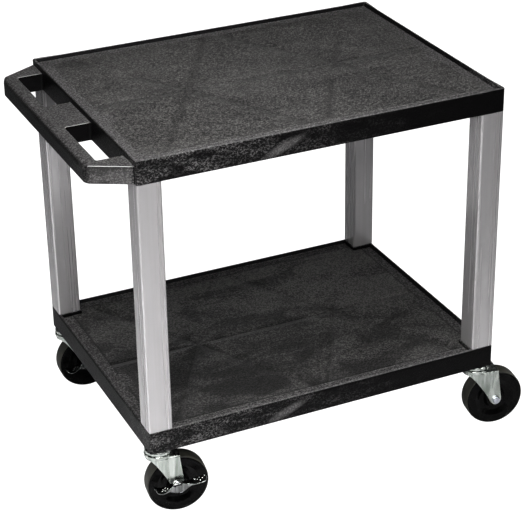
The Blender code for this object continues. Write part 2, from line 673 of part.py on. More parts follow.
def fork_mesh(shop, trail):
    """One stamping: a round-fronted crown, two legs cut to a slanting front edge, a raised race."""
    reach = trail + 2 * FORK_FOOT_RADIUS
    shell = shop.prism("fork_shell", [crown_plan(FORK_HALF_WIDTH, reach)], 0.0, CROWN_TOP_Z)
    round_edges(shell.data, FORK_BEND_RADIUS, lambda edge: on_rim(edge, CROWN_TOP_Z))
    hollow_plan = crown_plan(FORK_HALF_WIDTH - FORK_PLATE, 2 * reach)
    inside = shop.prism("fork_inside", [hollow_plan], -CUT_OVERRUN, CROWN_UNDER_Z)
    shop.combine(shell, [inside], "DIFFERENCE")
    wide = FORK_HALF_WIDTH + CUT_OVERRUN
    shop.combine(shell, [shop.side_prism("fork_side", [fork_side(trail)], -wide, wide)], "INTERSECT")
    race = shop.turned("race", [
        (0.0, RACE_TOP_Z),
        (RACE_RADIUS - RACE_ROUND, RACE_TOP_Z),
        (RACE_RADIUS, RACE_TOP_Z - RACE_ROUND),
        (RACE_RADIUS, CROWN_UNDER_Z + RACE_ROUND),
        (RACE_RADIUS - RACE_ROUND, CROWN_UNDER_Z),
        (0.0, CROWN_UNDER_Z),
    ], HEAD_STEPS)
    shop.combine(shell, [race], "UNION")
    pin_hole = shop.turned("pin_hole", rod_profile(STEM_RADIUS + FIT_GAP, 0.0, CASTER_HEIGHT), PIN_STEPS)
    axle_hole = shop.turned("axle_hole", rod_profile(HOLE_RADIUS, -2 * wide, 2 * wide), PIN_STEPS, "Y")
    axle_hole.data.transform(Matrix.Translation((trail, 0.0, WHEEL_RADIUS)))
    return shop.combine(shell, [pin_hole, axle_hole], "DIFFERENCE").data


def wheel_mesh(shop):
    """A hard wheel: rounded tread, flat side band, dished web and a boss round the bush."""
    half = WHEEL_WIDTH / 2
    band_outer = WHEEL_RADIUS - TREAD_EDGE_RADIUS
    band_inner = band_outer - RIM_BAND
    shoulder = arc_points((band_outer, half - TREAD_EDGE_RADIUS), TREAD_EDGE_RADIUS, 90, 0, SMALL_STEPS)
    upper = [
        (BUSH_RADIUS + FIT_GAP, HUB_WIDTH / 2),
        (HUB_RADIUS, HUB_WIDTH / 2),
        (HUB_RADIUS + DISH_SLOPE, WEB_THICKNESS / 2),
        (band_inner - DISH_SLOPE, WEB_THICKNESS / 2),
        (band_inner, half),
    ] + shoulder
    lower = [(radius, -height) for radius, height in reversed(upper)]
    return shop.turned("wheel", upper + lower, WHEEL_STEPS, "Y").data


def pedal_wave(x):
    """Height of the tread plate's middle over the axle, at x along the pedal."""
    length = PEDAL_FRONT_REACH + PEDAL_REAR_REACH
    turns = PEDAL_WAVES * (x + PEDAL_FRONT_REACH) / length
    return PEDAL_RISE + PEDAL_WAVE * math.cos(2 * math.pi * turns)


def pedal_mesh(shop):
    """The side brake's pedal: a disc on the axle with a waved tread plate standing out from it,
    narrow at the middle and with a rounded pad at each end. Its origin is on the axle."""
    inner_y = -(FORK_HALF_WIDTH + CAM_THICKNESS + 2 * FIT_GAP)
    outer_y = inner_y - PEDAL_DEPTH
    neck_y = inner_y - PEDAL_NECK_DEPTH
    root_y = inner_y - PEDAL_PLATE / 3
    start = -PEDAL_FRONT_REACH - CUT_OVERRUN
    length = PEDAL_FRONT_REACH + PEDAL_REAR_REACH + 2 * CUT_OVERRUN
    xs = [start + length * step / PEDAL_STEPS for step in range(PEDAL_STEPS + 1)]
    over = [(x, pedal_wave(x) + PEDAL_PLATE / 2) for x in xs]
    under = [(x, pedal_wave(x) - PEDAL_PLATE / 2) for x in reversed(xs)]
    strip = shop.side_prism("pedal_strip", [over + under], outer_y - CUT_OVERRUN, inner_y)
    plan = filleted([
        (-PEDAL_FRONT_REACH, root_y, 0),
        (-PEDAL_FRONT_REACH, outer_y, PEDAL_PAD_RADIUS),
        (-PEDAL_FRONT_REACH + PEDAL_PAD_LENGTH, outer_y, PEDAL_PAD_RADIUS),
        (-PEDAL_HUB_RADIUS, neck_y, PEDAL_PAD_RADIUS),
        (PEDAL_HUB_RADIUS, neck_y, PEDAL_PAD_RADIUS / 2),
        (PEDAL_REAR_REACH - PEDAL_PAD_LENGTH, outer_y, PEDAL_PAD_RADIUS / 2),
        (PEDAL_REAR_REACH, outer_y, PEDAL_PAD_RADIUS),
        (PEDAL_REAR_REACH, root_y, 0),
    ])
    shop.combine(strip, [shop.prism("pedal_plan", [plan], -WHEEL_RADIUS, WHEEL_RADIUS)], "INTERSECT")
    disc = arc_points((0.0, 0.0), PEDAL_HUB_RADIUS, 180, 360, 2 * CORNER_STEPS)
    disc += [(x, pedal_wave(x)) for x in (PEDAL_HUB_RADIUS, 0.0, -PEDAL_HUB_RADIUS)]
    hub = shop.side_prism("pedal_hub", [disc], inner_y - PEDAL_PLATE, inner_y)
    shop.combine(strip, [hub], "UNION")
    hole = shop.turned("pedal_hole", rod_profile(HOLE_RADIUS, -WHEEL_RADIUS, WHEEL_RADIUS), PIN_STEPS, "Y")
    return shop.combine(strip, [hole], "DIFFERENCE").data


def bolt_mesh(shop, head_seat):
    """Hex bolt along Y. Its head bears just outside the seat and its tip passes the far nut."""
    tip = FORK_HALF_WIDTH + 2 * FIT_GAP + AXLE_NUT_THICKNESS + AXLE_TAIL
    inner = head_seat + FIT_GAP
    outer = inner + AXLE_HEAD_THICKNESS
    head = shop.turned("head", rod_profile(AXLE_HEAD_RADIUS, inner, outer), HEX_STEPS, "Y")
    shank = shop.turned("shank", rod_profile(AXLE_RADIUS, -tip, inner + CUT_OVERRUN / 2), PIN_STEPS, "Y")
    return shop.combine(head, [shank], "UNION").data


def nut_mesh(shop):
    seat = FORK_HALF_WIDTH + FIT_GAP
    nut = shop.turned("nut", rod_profile(AXLE_HEAD_RADIUS, -seat - AXLE_NUT_THICKNESS, -seat), HEX_STEPS, "Y")
    hole = shop.turned("nut_hole", rod_profile(HOLE_RADIUS, -WHEEL_RADIUS, WHEEL_RADIUS), PIN_STEPS, "Y")
    return shop.combine(nut, [hole], "DIFFERENCE").data


def stem_profile():
    """The kingpin: a plain shaft up into the socket, and a flat rivet head under the crown."""
    top = CASTER_HEIGHT + STEM_DEPTH
    seat = CROWN_UNDER_Z - FIT_GAP
    return [
        (0.0, top),
        (STEM_RADIUS - STEM_TIP_TAPER, top),
        (STEM_RADIUS, top - STEM_TIP_TAPER),
        (STEM_RADIUS, seat),
        (RIVET_RADIUS, seat),
        (RIVET_RADIUS, seat - RIVET_THICKNESS / 2),
        (RIVET_RADIUS - RIVET_THICKNESS / 2, seat - RIVET_THICKNESS),
        (0.0, seat - RIVET_THICKNESS),
    ]


def upper_race_profile():
    """The cup under the shelf corner, a little narrower at its top."""
    bore = STEM_RADIUS + FIT_GAP
    waist = UPPER_RACE_BOTTOM_Z + UPPER_RACE_HEIGHT / 3
    return [
        (bore, UPPER_RACE_TOP_Z),
        (UPPER_RACE_TOP_RADIUS, UPPER_RACE_TOP_Z),
        (UPPER_RACE_RADIUS, waist),
        (UPPER_RACE_RADIUS, UPPER_RACE_BOTTOM_Z),
        (bore, UPPER_RACE_BOTTOM_Z),
    ]


def caster_meshes(shop):
    """The meshes that the four casters share."""
    spacer_end = FORK_HALF_WIDTH - FORK_PLATE - FIT_GAP
    cam_seat = FORK_HALF_WIDTH + FIT_GAP
    pedal_face = FORK_HALF_WIDTH + CAM_THICKNESS + PEDAL_PLATE + 2 * FIT_GAP
    sleeve_ends = (CASTER_HEIGHT + FIT_GAP, CASTER_HEIGHT + SLEEVE_DEPTH)
    profiles = {
        "socket_sleeve": ring_profile(STEM_RADIUS + FIT_GAP, SLEEVE_RADIUS, *sleeve_ends),
        "ball_ring": ring_profile(BALL_RING_BORE, BALL_RING_RADIUS, BALL_RING_BOTTOM_Z, BALL_RING_TOP_Z),
        "axle_spacer": ring_profile(HOLE_RADIUS, SPACER_RADIUS, -spacer_end, spacer_end),
        "wheel_bush": ring_profile(SPACER_RADIUS + FIT_GAP, BUSH_RADIUS, -BUSH_WIDTH / 2, BUSH_WIDTH / 2),
        "brake_cam": ring_profile(HOLE_RADIUS, CAM_RADIUS, cam_seat, cam_seat + CAM_THICKNESS),
    }
    return {
        "stem": shop.turned("stem", stem_profile(), PIN_STEPS).data,
        "socket_sleeve": shop.turned("sleeve", profiles["socket_sleeve"], PIN_STEPS).data,
        "upper_race": shop.turned("upper_race", upper_race_profile(), HEAD_STEPS).data,
        "ball_ring": shop.turned("ball_ring", profiles["ball_ring"], HEAD_STEPS).data,
        "plain_fork": fork_mesh(shop, PLAIN_TRAIL),
        "braked_fork": fork_mesh(shop, BRAKED_TRAIL),
        "axle_spacer": shop.turned("spacer", profiles["axle_spacer"], PIN_STEPS, "Y").data,
        "axle_nut": nut_mesh(shop),
        "plain_bolt": bolt_mesh(shop, FORK_HALF_WIDTH),
        "braked_bolt": bolt_mesh(shop, pedal_face),
        "wheel": wheel_mesh(shop),
        "wheel_bush": shop.turned("bush", profiles["wheel_bush"], HEAD_STEPS, "Y").data,
        "brake_cam": shop.turned("cam", profiles["brake_cam"], PIN_STEPS, "Y").data,
        "brake_pedal": pedal_mesh(shop),
    }


def build_caster(shop, cart, corner, meshes):
    """A swivel caster under one corner. The stem, its sleeve and the upper race stay with the
    cart, the fork turns on the stem, and the wheel and any brake pedal turn on the axle."""
    side_x, side_y = CORNERS[corner]
    foot = (side_x * LEG_CENTRE_X, side_y * LEG_CENTRE_Y, 0.0)
    seat = shop.pivot(corner + "_seat", cart, foot)
    shop.place(corner + "_stem", meshes["stem"], "stem_steel", seat)
    shop.place(corner + "_socket_sleeve", meshes["socket_sleeve"], "socket_nylon", seat)
    shop.place(corner + "_upper_race", meshes["upper_race"], "zinc_plate", seat)
    yaw = math.radians(CASTER_YAWS_DEG[corner])
    swivel = shop.pivot(corner + "_swivel", cart, foot, (0.0, 0.0, yaw))
    braked = corner in BRAKED_CORNERS
    variant, trail = ("braked", BRAKED_TRAIL) if braked else ("plain", PLAIN_TRAIL)
    shop.place(corner + "_ball_ring", meshes["ball_ring"], "bearing_steel", swivel)
    shop.place(corner + "_fork", meshes[variant + "_fork"], "zinc_plate", swivel)
    axle = shop.pivot(corner + "_axle", swivel, (trail, 0.0, WHEEL_RADIUS))
    shop.place(corner + "_axle_bolt", meshes[variant + "_bolt"], "zinc_plate", axle)
    shop.place(corner + "_axle_nut", meshes["axle_nut"], "zinc_plate", axle)
    shop.place(corner + "_axle_spacer", meshes["axle_spacer"], "stem_steel", axle)
    shop.place(corner + "_wheel", meshes["wheel"], "wheel_rubber", axle)
    shop.place(corner + "_wheel_bush", meshes["wheel_bush"], "bush_nylon", axle)
    if braked:
        tilt = (0.0, math.radians(PEDAL_TILTS_DEG[corner]), 0.0)
        shop.place(corner + "_brake_cam", meshes["brake_cam"], "zinc_plate", axle)
        shop.place(corner + "_brake_pedal", meshes["brake_pedal"], "zinc_plate", axle, rotation=tilt)


def centre_over_origin(cart, parts):
    """Moves the cart so that the middle of its bounding box is over the origin, base at z = 0."""
    bpy.context.view_layer.update()
    solids = [obj for obj in parts if obj.type == "MESH"]
    corners = [obj.matrix_world @ vert.co for obj in solids for vert in obj.data.vertices]
    low = Vector([min(corner[axis] for corner in corners) for axis in range(3)])
    high = Vector([max(corner[axis] for corner in corners) for axis in range(3)])
    cart.location = (-(low.x + high.x) / 2, -(low.y + high.y) / 2, -low.z)
    bpy.context.view_layer.update()


def main():
    clear_scene()
    shop = Workshop("audio_visual_cart")
    cart = shop.pivot("cart_origin", None, (0.0, 0.0, 0.0))
    build_top_shelf(shop, cart)
    build_bottom_shelf(shop, cart)
    build_legs(shop, cart)
    build_bars(shop, cart)
    meshes = caster_meshes(shop)
    for corner in CORNERS:
        build_caster(shop, cart, corner, meshes)
    shop.sweep_up()
    centre_over_origin(cart, shop.parts.objects)


main()
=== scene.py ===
"""Audio visual cart: two moulded tray shelves on square legs, rolling on four swivel casters.

The looks of the cart, laid over its fixed working frame. Metres, +Z up, with the push handle
at -X and the front side at -Y. The file follows the cart as it is put together, from the
shelves down to the casters, and ends with the room that it stands in.
"""

import json
import math

import bmesh
import bpy
from mathutils import Matrix, Vector


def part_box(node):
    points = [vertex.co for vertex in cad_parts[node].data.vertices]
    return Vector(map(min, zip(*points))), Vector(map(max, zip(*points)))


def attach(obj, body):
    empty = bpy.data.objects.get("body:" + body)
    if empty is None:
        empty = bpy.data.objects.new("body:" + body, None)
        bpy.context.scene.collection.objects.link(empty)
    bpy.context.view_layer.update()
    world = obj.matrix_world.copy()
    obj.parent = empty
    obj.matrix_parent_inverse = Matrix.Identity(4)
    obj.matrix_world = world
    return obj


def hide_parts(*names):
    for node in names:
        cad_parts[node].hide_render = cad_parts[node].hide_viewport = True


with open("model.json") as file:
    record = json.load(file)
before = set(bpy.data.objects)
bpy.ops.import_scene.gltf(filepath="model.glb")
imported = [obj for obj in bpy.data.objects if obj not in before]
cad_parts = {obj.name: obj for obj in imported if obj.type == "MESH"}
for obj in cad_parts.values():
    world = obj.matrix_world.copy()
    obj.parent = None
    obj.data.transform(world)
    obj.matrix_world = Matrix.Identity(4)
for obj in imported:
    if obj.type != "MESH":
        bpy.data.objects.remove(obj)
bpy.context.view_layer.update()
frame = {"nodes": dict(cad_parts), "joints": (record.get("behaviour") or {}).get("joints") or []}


# The two tray shelves.
# Each is one black structural-foam moulding: a skirt, a lip on all four sides, a smooth border with a
# tab at each end, and a pebbled field. A leg stands on a pad at each corner.

SKIRT_HEIGHT = 0.0380
SKIRT_WALL = 0.0040
SHELF_CORNER = 0.0040
FOOT_ROUND = 0.0009
LIP_TOP_WIDTH = 0.0040
LIP_FOOT_WIDTH = 0.0073
LIP_HEIGHT = 0.0060
LIP_END_ROUND = (0.0011, 0.0012)
LIP_MIDDLE_ROUND = (0.0034, 0.0052)
LIP_BLEND = (0.0100, 0.0480)
LIP_INNER_ROUND = 0.0006
BORDER_INSET = 0.0224
FIELD_RISE = 0.0005
FIELD_STEP = 0.0009
FIELD_CORNER = 0.0200
TAB_PLACE = -0.0500
TAB_BASE = 0.0390
TAB_TIP = 0.0260
TAB_REACH = 0.0143
DECK_THICKNESS = 0.0040
PAD_SIDE = 0.0407
BOSS_SIDE = 0.0460
RIB_THICKNESS = 0.0030
RIB_DROP = 0.0103
STAR_CENTRE = 0.1270
STAR_END = 0.2620
SADDLE_LENGTH = 0.0140
SADDLE_THICKNESS = 0.0035
BAR_PLACE = 0.1180
BAR_WIDTH = 0.0190
BAR_THICKNESS = 0.0064
HAIR = 0.0003
WELD = 1e-6
LONG_SIDE_STEPS = 24
SHORT_SIDE_STEPS = 20
LIP_STEPS = 7
# The field's step up from the border, as shares of its width and of its rise.
FIELD_STEP_SHARES = ((0.3, 0.12), (0.7, 0.88))
# Where the handle's seam lies, and the slanting pale mark on each shelf's front: its centre along
# the front and over the shelf's foot, its half length and half height, and its tilt.
SEAM_PLACE = -0.3048
MARK_CENTRE = (-0.0720, 0.0150)
MARK_HALF = (0.0400, 0.0086)
MARK_TILT = math.radians(20)
CORNER_SIDES = {
    "front_left": (-1, -1),
    "front_right": (1, -1),
    "back_left": (-1, 1),
    "back_right": (1, 1),
}

low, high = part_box("bottom_shelf")
shelf_centre = Vector(((low.x + high.x) / 2, (low.y + high.y) / 2))
shelf_half = Vector(((high.x - low.x) / 2, (high.y - low.y) / 2))
bottom_shelf_floor = low.z
top_shelf_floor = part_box("top_shelf")[1].z - SKIRT_HEIGHT


def finish_mesh(bm, name, materials, sharp_angle=40.0):
    """The mesh made so far as an object: clean, facing outward and smoothly shaded."""
    bmesh.ops.recalc_face_normals(bm, faces=bm.faces)
    mesh = bpy.data.meshes.new(name)
    bm.to_mesh(mesh)
    bm.free()
    for material in materials:
        mesh.materials.append(material)
    mesh.shade_smooth()
    mesh.set_sharp_from_angle(angle=math.radians(sharp_angle))
    piece = bpy.data.objects.new(name, mesh)
    bpy.context.scene.collection.objects.link(piece)
    weighted = piece.modifiers.new("Even shading", "WEIGHTED_NORMAL")
    weighted.keep_sharp = True
    return piece


def loft(bm, rings, material_index=0, close_start=False, close_end=False):
    """Quads between successive closed rings of points, with a face over either end if wanted."""
    made = [[bm.verts.new(point) for point in ring] for ring in rings]
    for lower, upper in zip(made, made[1:]):
        for i in range(len(lower)):
            j = (i + 1) % len(lower)
            bm.faces.new((lower[i], lower[j], upper[j], upper[i])).material_index = material_index
    if close_start:
        bm.faces.new(reversed(made[0])).material_index = material_index
    if close_end:
        bm.faces.new(made[-1]).material_index = material_index
    return made


def soft_box(bm, box_low, box_high, radius, material_index=0, turn=Matrix.Identity(4)):
    """A box with rounded edges, added to the mesh."""
    size = Vector(box_high) - Vector(box_low)
    middle = (Vector(box_high) + Vector(box_low)) / 2
    place = turn @ Matrix.Translation(middle) @ Matrix.Diagonal((*size, 1.0))
    made = bmesh.ops.create_cube(bm, size=1.0, matrix=place)
    edges = {edge for vert in made["verts"] for edge in vert.link_edges}
    bevelled = bmesh.ops.bevel(bm, geom=list(edges), offset=radius, segments=2, profile=0.5, affect="EDGES")
    faces = {face for vert in made["verts"] if vert.is_valid for face in vert.link_faces}
    for face in faces | set(bevelled["faces"]):
        face.material_index = material_index


def side_shares(count, extra=()):
    """Places along a side as shares of its half length, closer together towards its ends."""
    even = [math.sin(math.pi / 2 * (2 * step / count - 1)) for step in range(1, count)]
    return sorted(even + list(extra))


def tray_outline(half_x, half_y, radius, x_shares, y_shares, corner_steps=6):
    """A rounded rectangle, anticlockwise from the front right corner."""
    points = []
    for quarter, (sx, sy) in enumerate(((1, -1), (1, 1), (-1, 1), (-1, -1))):
        centre = Vector((sx * (half_x - radius), sy * (half_y - radius)))
        for step in range(corner_steps + 1):
            angle = math.pi / 2 * (quarter - 1 + step / corner_steps)
            points.append(centre + radius * Vector((math.cos(angle), math.sin(angle))))
        if quarter in (0, 2):
            for share in (y_shares if quarter == 0 else reversed(y_shares)):
                points.append(Vector((sx * half_x, share * (half_y - radius))))
        else:
            for share in (reversed(x_shares) if quarter == 1 else x_shares):
                points.append(Vector((share * (half_x - radius), sy * half_y)))
    return points


def tray_body(bm, base_z, underside_z, skin, field):
    """Skirt, lip, border and field as one lofted skin, from the deck's underside to its top."""
    tab_marks = [TAB_PLACE + side * width / 2 for width in (TAB_BASE, TAB_TIP) for side in (-1, 1)]
    straight_y = shelf_half.y - BORDER_INSET - FIELD_CORNER
    x_shares = side_shares(LONG_SIDE_STEPS)
    y_shares = side_shares(SHORT_SIDE_STEPS, [mark / straight_y for mark in tab_marks])

    def ring(inset, height, radius=None):
        corner = max(SHELF_CORNER - inset, LIP_INNER_ROUND) if radius is None else radius
        plan = tray_outline(shelf_half.x - inset, shelf_half.y - inset, corner, x_shares, y_shares)
        return [Vector((x, y, height)) for x, y in plan]

    def edge_ring(turn):
        """A ring round the lip's outer edge, where the rounding grows away from the corners."""
        points = []
        for x, y, _ in ring(0, 0):
            reach = max(shelf_half.x - abs(x), shelf_half.y - abs(y))
            grow = min(max((reach - LIP_BLEND[0]) / (LIP_BLEND[1] - LIP_BLEND[0]), 0), 1)
            grow = grow * grow * (3 - 2 * grow)
            across, down = (a + (b - a) * grow for a, b in zip(LIP_END_ROUND, LIP_MIDDLE_ROUND))
            inset = across * (1 - math.cos(turn))
            shrink = Vector((1 - inset / shelf_half.x, 1 - inset / shelf_half.y))
            height = SKIRT_HEIGHT - down * (1 - math.sin(turn))
            points.append(Vector((x * shrink.x, y * shrink.y, height)))
        return points

    def field_ring(inset, height):
        """The field's edge, stepped in round the tab at each end."""
        points = []
        for x, y, z in ring(BORDER_INSET + inset, height, FIELD_CORNER - inset):
            off_middle = abs(y - TAB_PLACE)
            slope = (TAB_BASE / 2 + inset - off_middle) / (TAB_BASE / 2 - TAB_TIP / 2)
            step_in = TAB_REACH * min(max(slope, 0), 1)
            on_end = abs(x) > shelf_half.x - BORDER_INSET - FIELD_CORNER
            points.append(Vector((x - math.copysign(step_in, x) * on_end, y, z)))
        return points

    deck_z = SKIRT_HEIGHT - LIP_HEIGHT
    rings = [
        ring(SKIRT_WALL, underside_z),
        ring(SKIRT_WALL - FOOT_ROUND / 2, 2 * FOOT_ROUND),
        ring(SKIRT_WALL - FOOT_ROUND, FOOT_ROUND / 3),
        ring(SKIRT_WALL - 2 * FOOT_ROUND, 0),
        ring(FOOT_ROUND, 0),
        ring(FOOT_ROUND * 0.3, FOOT_ROUND * 0.3),
        ring(0, FOOT_ROUND),
    ]
    rings += [edge_ring(math.pi / 2 * step / LIP_STEPS) for step in range(LIP_STEPS + 1)]
    slope = Vector((LIP_FOOT_WIDTH - LIP_TOP_WIDTH, -LIP_HEIGHT)).normalized() * LIP_INNER_ROUND
    rings += [
        ring(LIP_TOP_WIDTH - LIP_INNER_ROUND, SKIRT_HEIGHT),
        ring(LIP_TOP_WIDTH, SKIRT_HEIGHT - LIP_INNER_ROUND / 4),
        ring(LIP_TOP_WIDTH + slope.x, SKIRT_HEIGHT + slope.y),
        ring(LIP_FOOT_WIDTH - slope.x, deck_z - slope.y),
        ring(LIP_FOOT_WIDTH, deck_z + LIP_INNER_ROUND / 4),
        ring(LIP_FOOT_WIDTH + LIP_INNER_ROUND, deck_z),
        field_ring(0, deck_z),
    ]
    rings += [field_ring(FIELD_STEP * inward, deck_z + FIELD_RISE * up) for inward, up in FIELD_STEP_SHARES]
    move = Vector((*shelf_centre, base_z))
    rings = [[point + move for point in points] for points in rings]
    loft(bm, rings, skin, close_start=True)
    top = [point + move for point in field_ring(FIELD_STEP, deck_z + FIELD_RISE)]
    loft(bm, [rings[-1], top], field, close_end=True)
    bmesh.ops.remove_doubles(bm, verts=bm.verts, dist=WELD)


def deck_underside(bm, base_z, skin):
    """Star ribs, corner bosses and bar saddles under the deck."""
    under = SKIRT_HEIGHT - LIP_HEIGHT - DECK_THICKNESS
    move = Matrix.Translation((*shelf_centre, base_z))
    rib_bottom = under - RIB_DROP
    runs = [((-shelf_half.x, 0.0), (shelf_half.x, 0.0))]
    for side_x in (-1, 1):
        for side_y in (-1, 1):
            for end_x in (0.0, side_x * STAR_END):
                runs.append(((side_x * STAR_CENTRE, 0.0), (end_x, side_y * shelf_half.y)))
    for start, end in runs:
        run = Vector(end) - Vector(start)
        turn = move @ Matrix.Translation((*start, 0.0)) @ Matrix.Rotation(math.atan2(run.y, run.x), 4, "Z")
        length = run.length - SKIRT_WALL
        first = SKIRT_WALL if start[0] == -shelf_half.x else 0.0
        soft_box(bm, (first, -RIB_THICKNESS / 2, rib_bottom), (length, RIB_THICKNESS / 2, under + HAIR),
                 HAIR, skin, turn)
    for side_x, side_y in CORNER_SIDES.values():
        outer = Vector((side_x * (shelf_half.x - SKIRT_WALL / 2), side_y * (shelf_half.y - SKIRT_WALL / 2)))
        inner = Vector((side_x * (shelf_half.x - BOSS_SIDE), side_y * (shelf_half.y - BOSS_SIDE)))
        soft_box(bm, (min(outer.x, inner.x), min(outer.y, inner.y), HAIR),
                 (max(outer.x, inner.x), max(outer.y, inner.y), under + HAIR), FOOT_ROUND, skin, move)
        saddle_end = side_x * (shelf_half.x - SKIRT_WALL - SADDLE_LENGTH)
        saddle_half = BAR_WIDTH / 2 + SADDLE_THICKNESS
        saddle_top = rib_bottom - BAR_THICKNESS - 2 * HAIR
        saddle_y = side_y * BAR_PLACE
        saddle_low = (min(saddle_end, outer.x), saddle_y - saddle_half, saddle_top - SADDLE_THICKNESS)
        saddle_high = (max(saddle_end, outer.x), saddle_y + saddle_half, saddle_top)
        soft_box(bm, saddle_low, saddle_high, HAIR, skin, move)


def wire(tree, made, inputs):
    """Sets a node's inputs, each to a value or to another node's output."""
    for key, value in inputs.items():
        if isinstance(value, bpy.types.NodeSocket):
            tree.links.new(value, made.inputs[key])
        else:
            made.inputs[key].default_value = value


def node(tree, kind, inputs=None, **settings):
    """A shader node with its settings and its inputs."""
    made = tree.nodes.new(kind)
    for key, value in settings.items():
        setattr(made, key, value)
    wire(tree, made, inputs or {})
    return made


def math_node(tree, operation, first, second=0.0, third=0.0, clamp=False):
    return node(tree, "ShaderNodeMath", {0: first, 1: second, 2: third},
                operation=operation, use_clamp=clamp).outputs[0]


def times(tree, first, second):
    return math_node(tree, "MULTIPLY", first, second)


def scaled(tree, value, factor, shift):
    """The value times a factor, with a shift added."""
    return math_node(tree, "MULTIPLY_ADD", value, factor, shift)


def spread(tree, value, from_low, from_high, to_low=0.0, to_high=1.0):
    """The value moved smoothly from one range to another."""
    return node(tree, "ShaderNodeMapRange", {
        "Value": value, "From Min": from_low, "From Max": from_high, "To Min": to_low, "To Max": to_high,
    }, interpolation_type="SMOOTHSTEP").outputs["Result"]


def blend_colours(tree, share, first, second):
    return node(tree, "ShaderNodeMix", {0: share, 6: first, 7: second}, data_type="RGBA").outputs[2]


def noise(tree, place, scale, detail, roughness=0.5, distortion=0.0):
    """Cloudy noise over the surface, from 0 to 1."""
    return node(tree, "ShaderNodeTexNoise", {
        "Vector": place, "Scale": scale, "Detail": detail, "Roughness": roughness, "Distortion": distortion,
    }).outputs["Fac"]


def bumped(tree, height, distance, strength, under=None):
    """The normal of a relief, laid over another relief's normal if one is given."""
    inputs = {"Height": height, "Distance": distance, "Strength": strength}
    if under is not None:
        inputs["Normal"] = under
    return node(tree, "ShaderNodeBump", inputs).outputs["Normal"]


def parts_of(tree, vector):
    """The X, Y and Z of a vector."""
    return node(tree, "ShaderNodeSeparateXYZ", {0: vector}).outputs


def surface_place(tree, stretch=(1.0, 1.0, 1.0)):
    """Where a point of the surface is on its own piece, in metres, stretched by direction."""
    place = node(tree, "ShaderNodeTexCoord").outputs["Object"]
    return node(tree, "ShaderNodeMapping", {"Vector": place, "Scale": stretch}).outputs["Vector"]


def new_effect(name, inputs, outputs):
    """A node group with number inputs and outputs: its tree, its inputs' sockets and its end node."""
    tree = bpy.data.node_groups.new(name, "ShaderNodeTree")
    for socket, value in inputs.items():
        made = tree.interface.new_socket(socket, in_out="INPUT", socket_type="NodeSocketFloat")
        made.default_value = value
    for socket in outputs:
        tree.interface.new_socket(socket, in_out="OUTPUT", socket_type="NodeSocketFloat")
    return tree, tree.nodes.new("NodeGroupInput").outputs, tree.nodes.new("NodeGroupOutput")


def use_effect(tree, effect, **values):
    """An effect placed in a material. Input names are given with _ for spaces."""
    made = tree.nodes.new("ShaderNodeGroup")
    made.node_tree = effect
    wire(tree, made, {key.replace("_", " "): value for key, value in values.items()})
    return made.outputs


def new_material(name):
    """A material with its Principled shader, ready for nodes to be wired to it."""
    material = bpy.data.materials.new(name)
    material.use_nodes = True
    return material, material.node_tree, material.node_tree.nodes["Principled BSDF"]


def pebble_effect():
    """The orange-peel grain of structural foam: rounded pebbles with finer grit between them."""
    tree, given, out = new_effect("Pebbled grain", {"Size": 0.0016, "Unevenness": 0.5}, ("Height", "Mottle"))
    place = surface_place(tree)
    fineness = math_node(tree, "DIVIDE", 1.0, given["Size"])
    cells = node(tree, "ShaderNodeTexVoronoi", {
        "Vector": place, "Scale": fineness, "Smoothness": 0.6, "Randomness": 1.0}, feature="SMOOTH_F1")
    grit = noise(tree, place, times(tree, fineness, 1.9), 3.0, 0.6)
    patches = noise(tree, place, times(tree, fineness, 0.22), 4.0, 0.65)
    pebbles = math_node(tree, "SUBTRACT", 1.0, cells.outputs["Distance"])
    rough = scaled(tree, grit, 0.7, pebbles)
    wire(tree, out, {"Height": math_node(tree, "ADD", rough, times(tree, patches, given["Unevenness"])),
                     "Mottle": spread(tree, patches, 0.32, 0.68)})
    return tree


def swirl_effect():
    """Gas swirls in a foam moulding's skin: fine flecks that gather in slanting, streaked patches."""
    tree, given, out = new_effect("Foam swirl", {"Size": 0.003, "Patch": 0.05}, ("Flecks", "Patches"))
    fineness = math_node(tree, "DIVIDE", 1.0, given["Size"])
    flecks = noise(tree, surface_place(tree, (0.85, 1.0, 1.15)), fineness, 2.5, 0.65, 0.6)
    slanted = node(tree, "ShaderNodeMapping", {
        "Vector": surface_place(tree), "Rotation": (0.0, math.radians(28), 0.0), "Scale": (0.55, 1.0, 2.2)})
    patches = noise(tree, slanted.outputs["Vector"], math_node(tree, "DIVIDE", 1.0, given["Patch"]),
                    4.0, 0.55, 1.0)
    wire(tree, out, {"Flecks": spread(tree, flecks, 0.46, 0.61),
                     "Patches": spread(tree, patches, 0.36, 0.62)})
    return tree


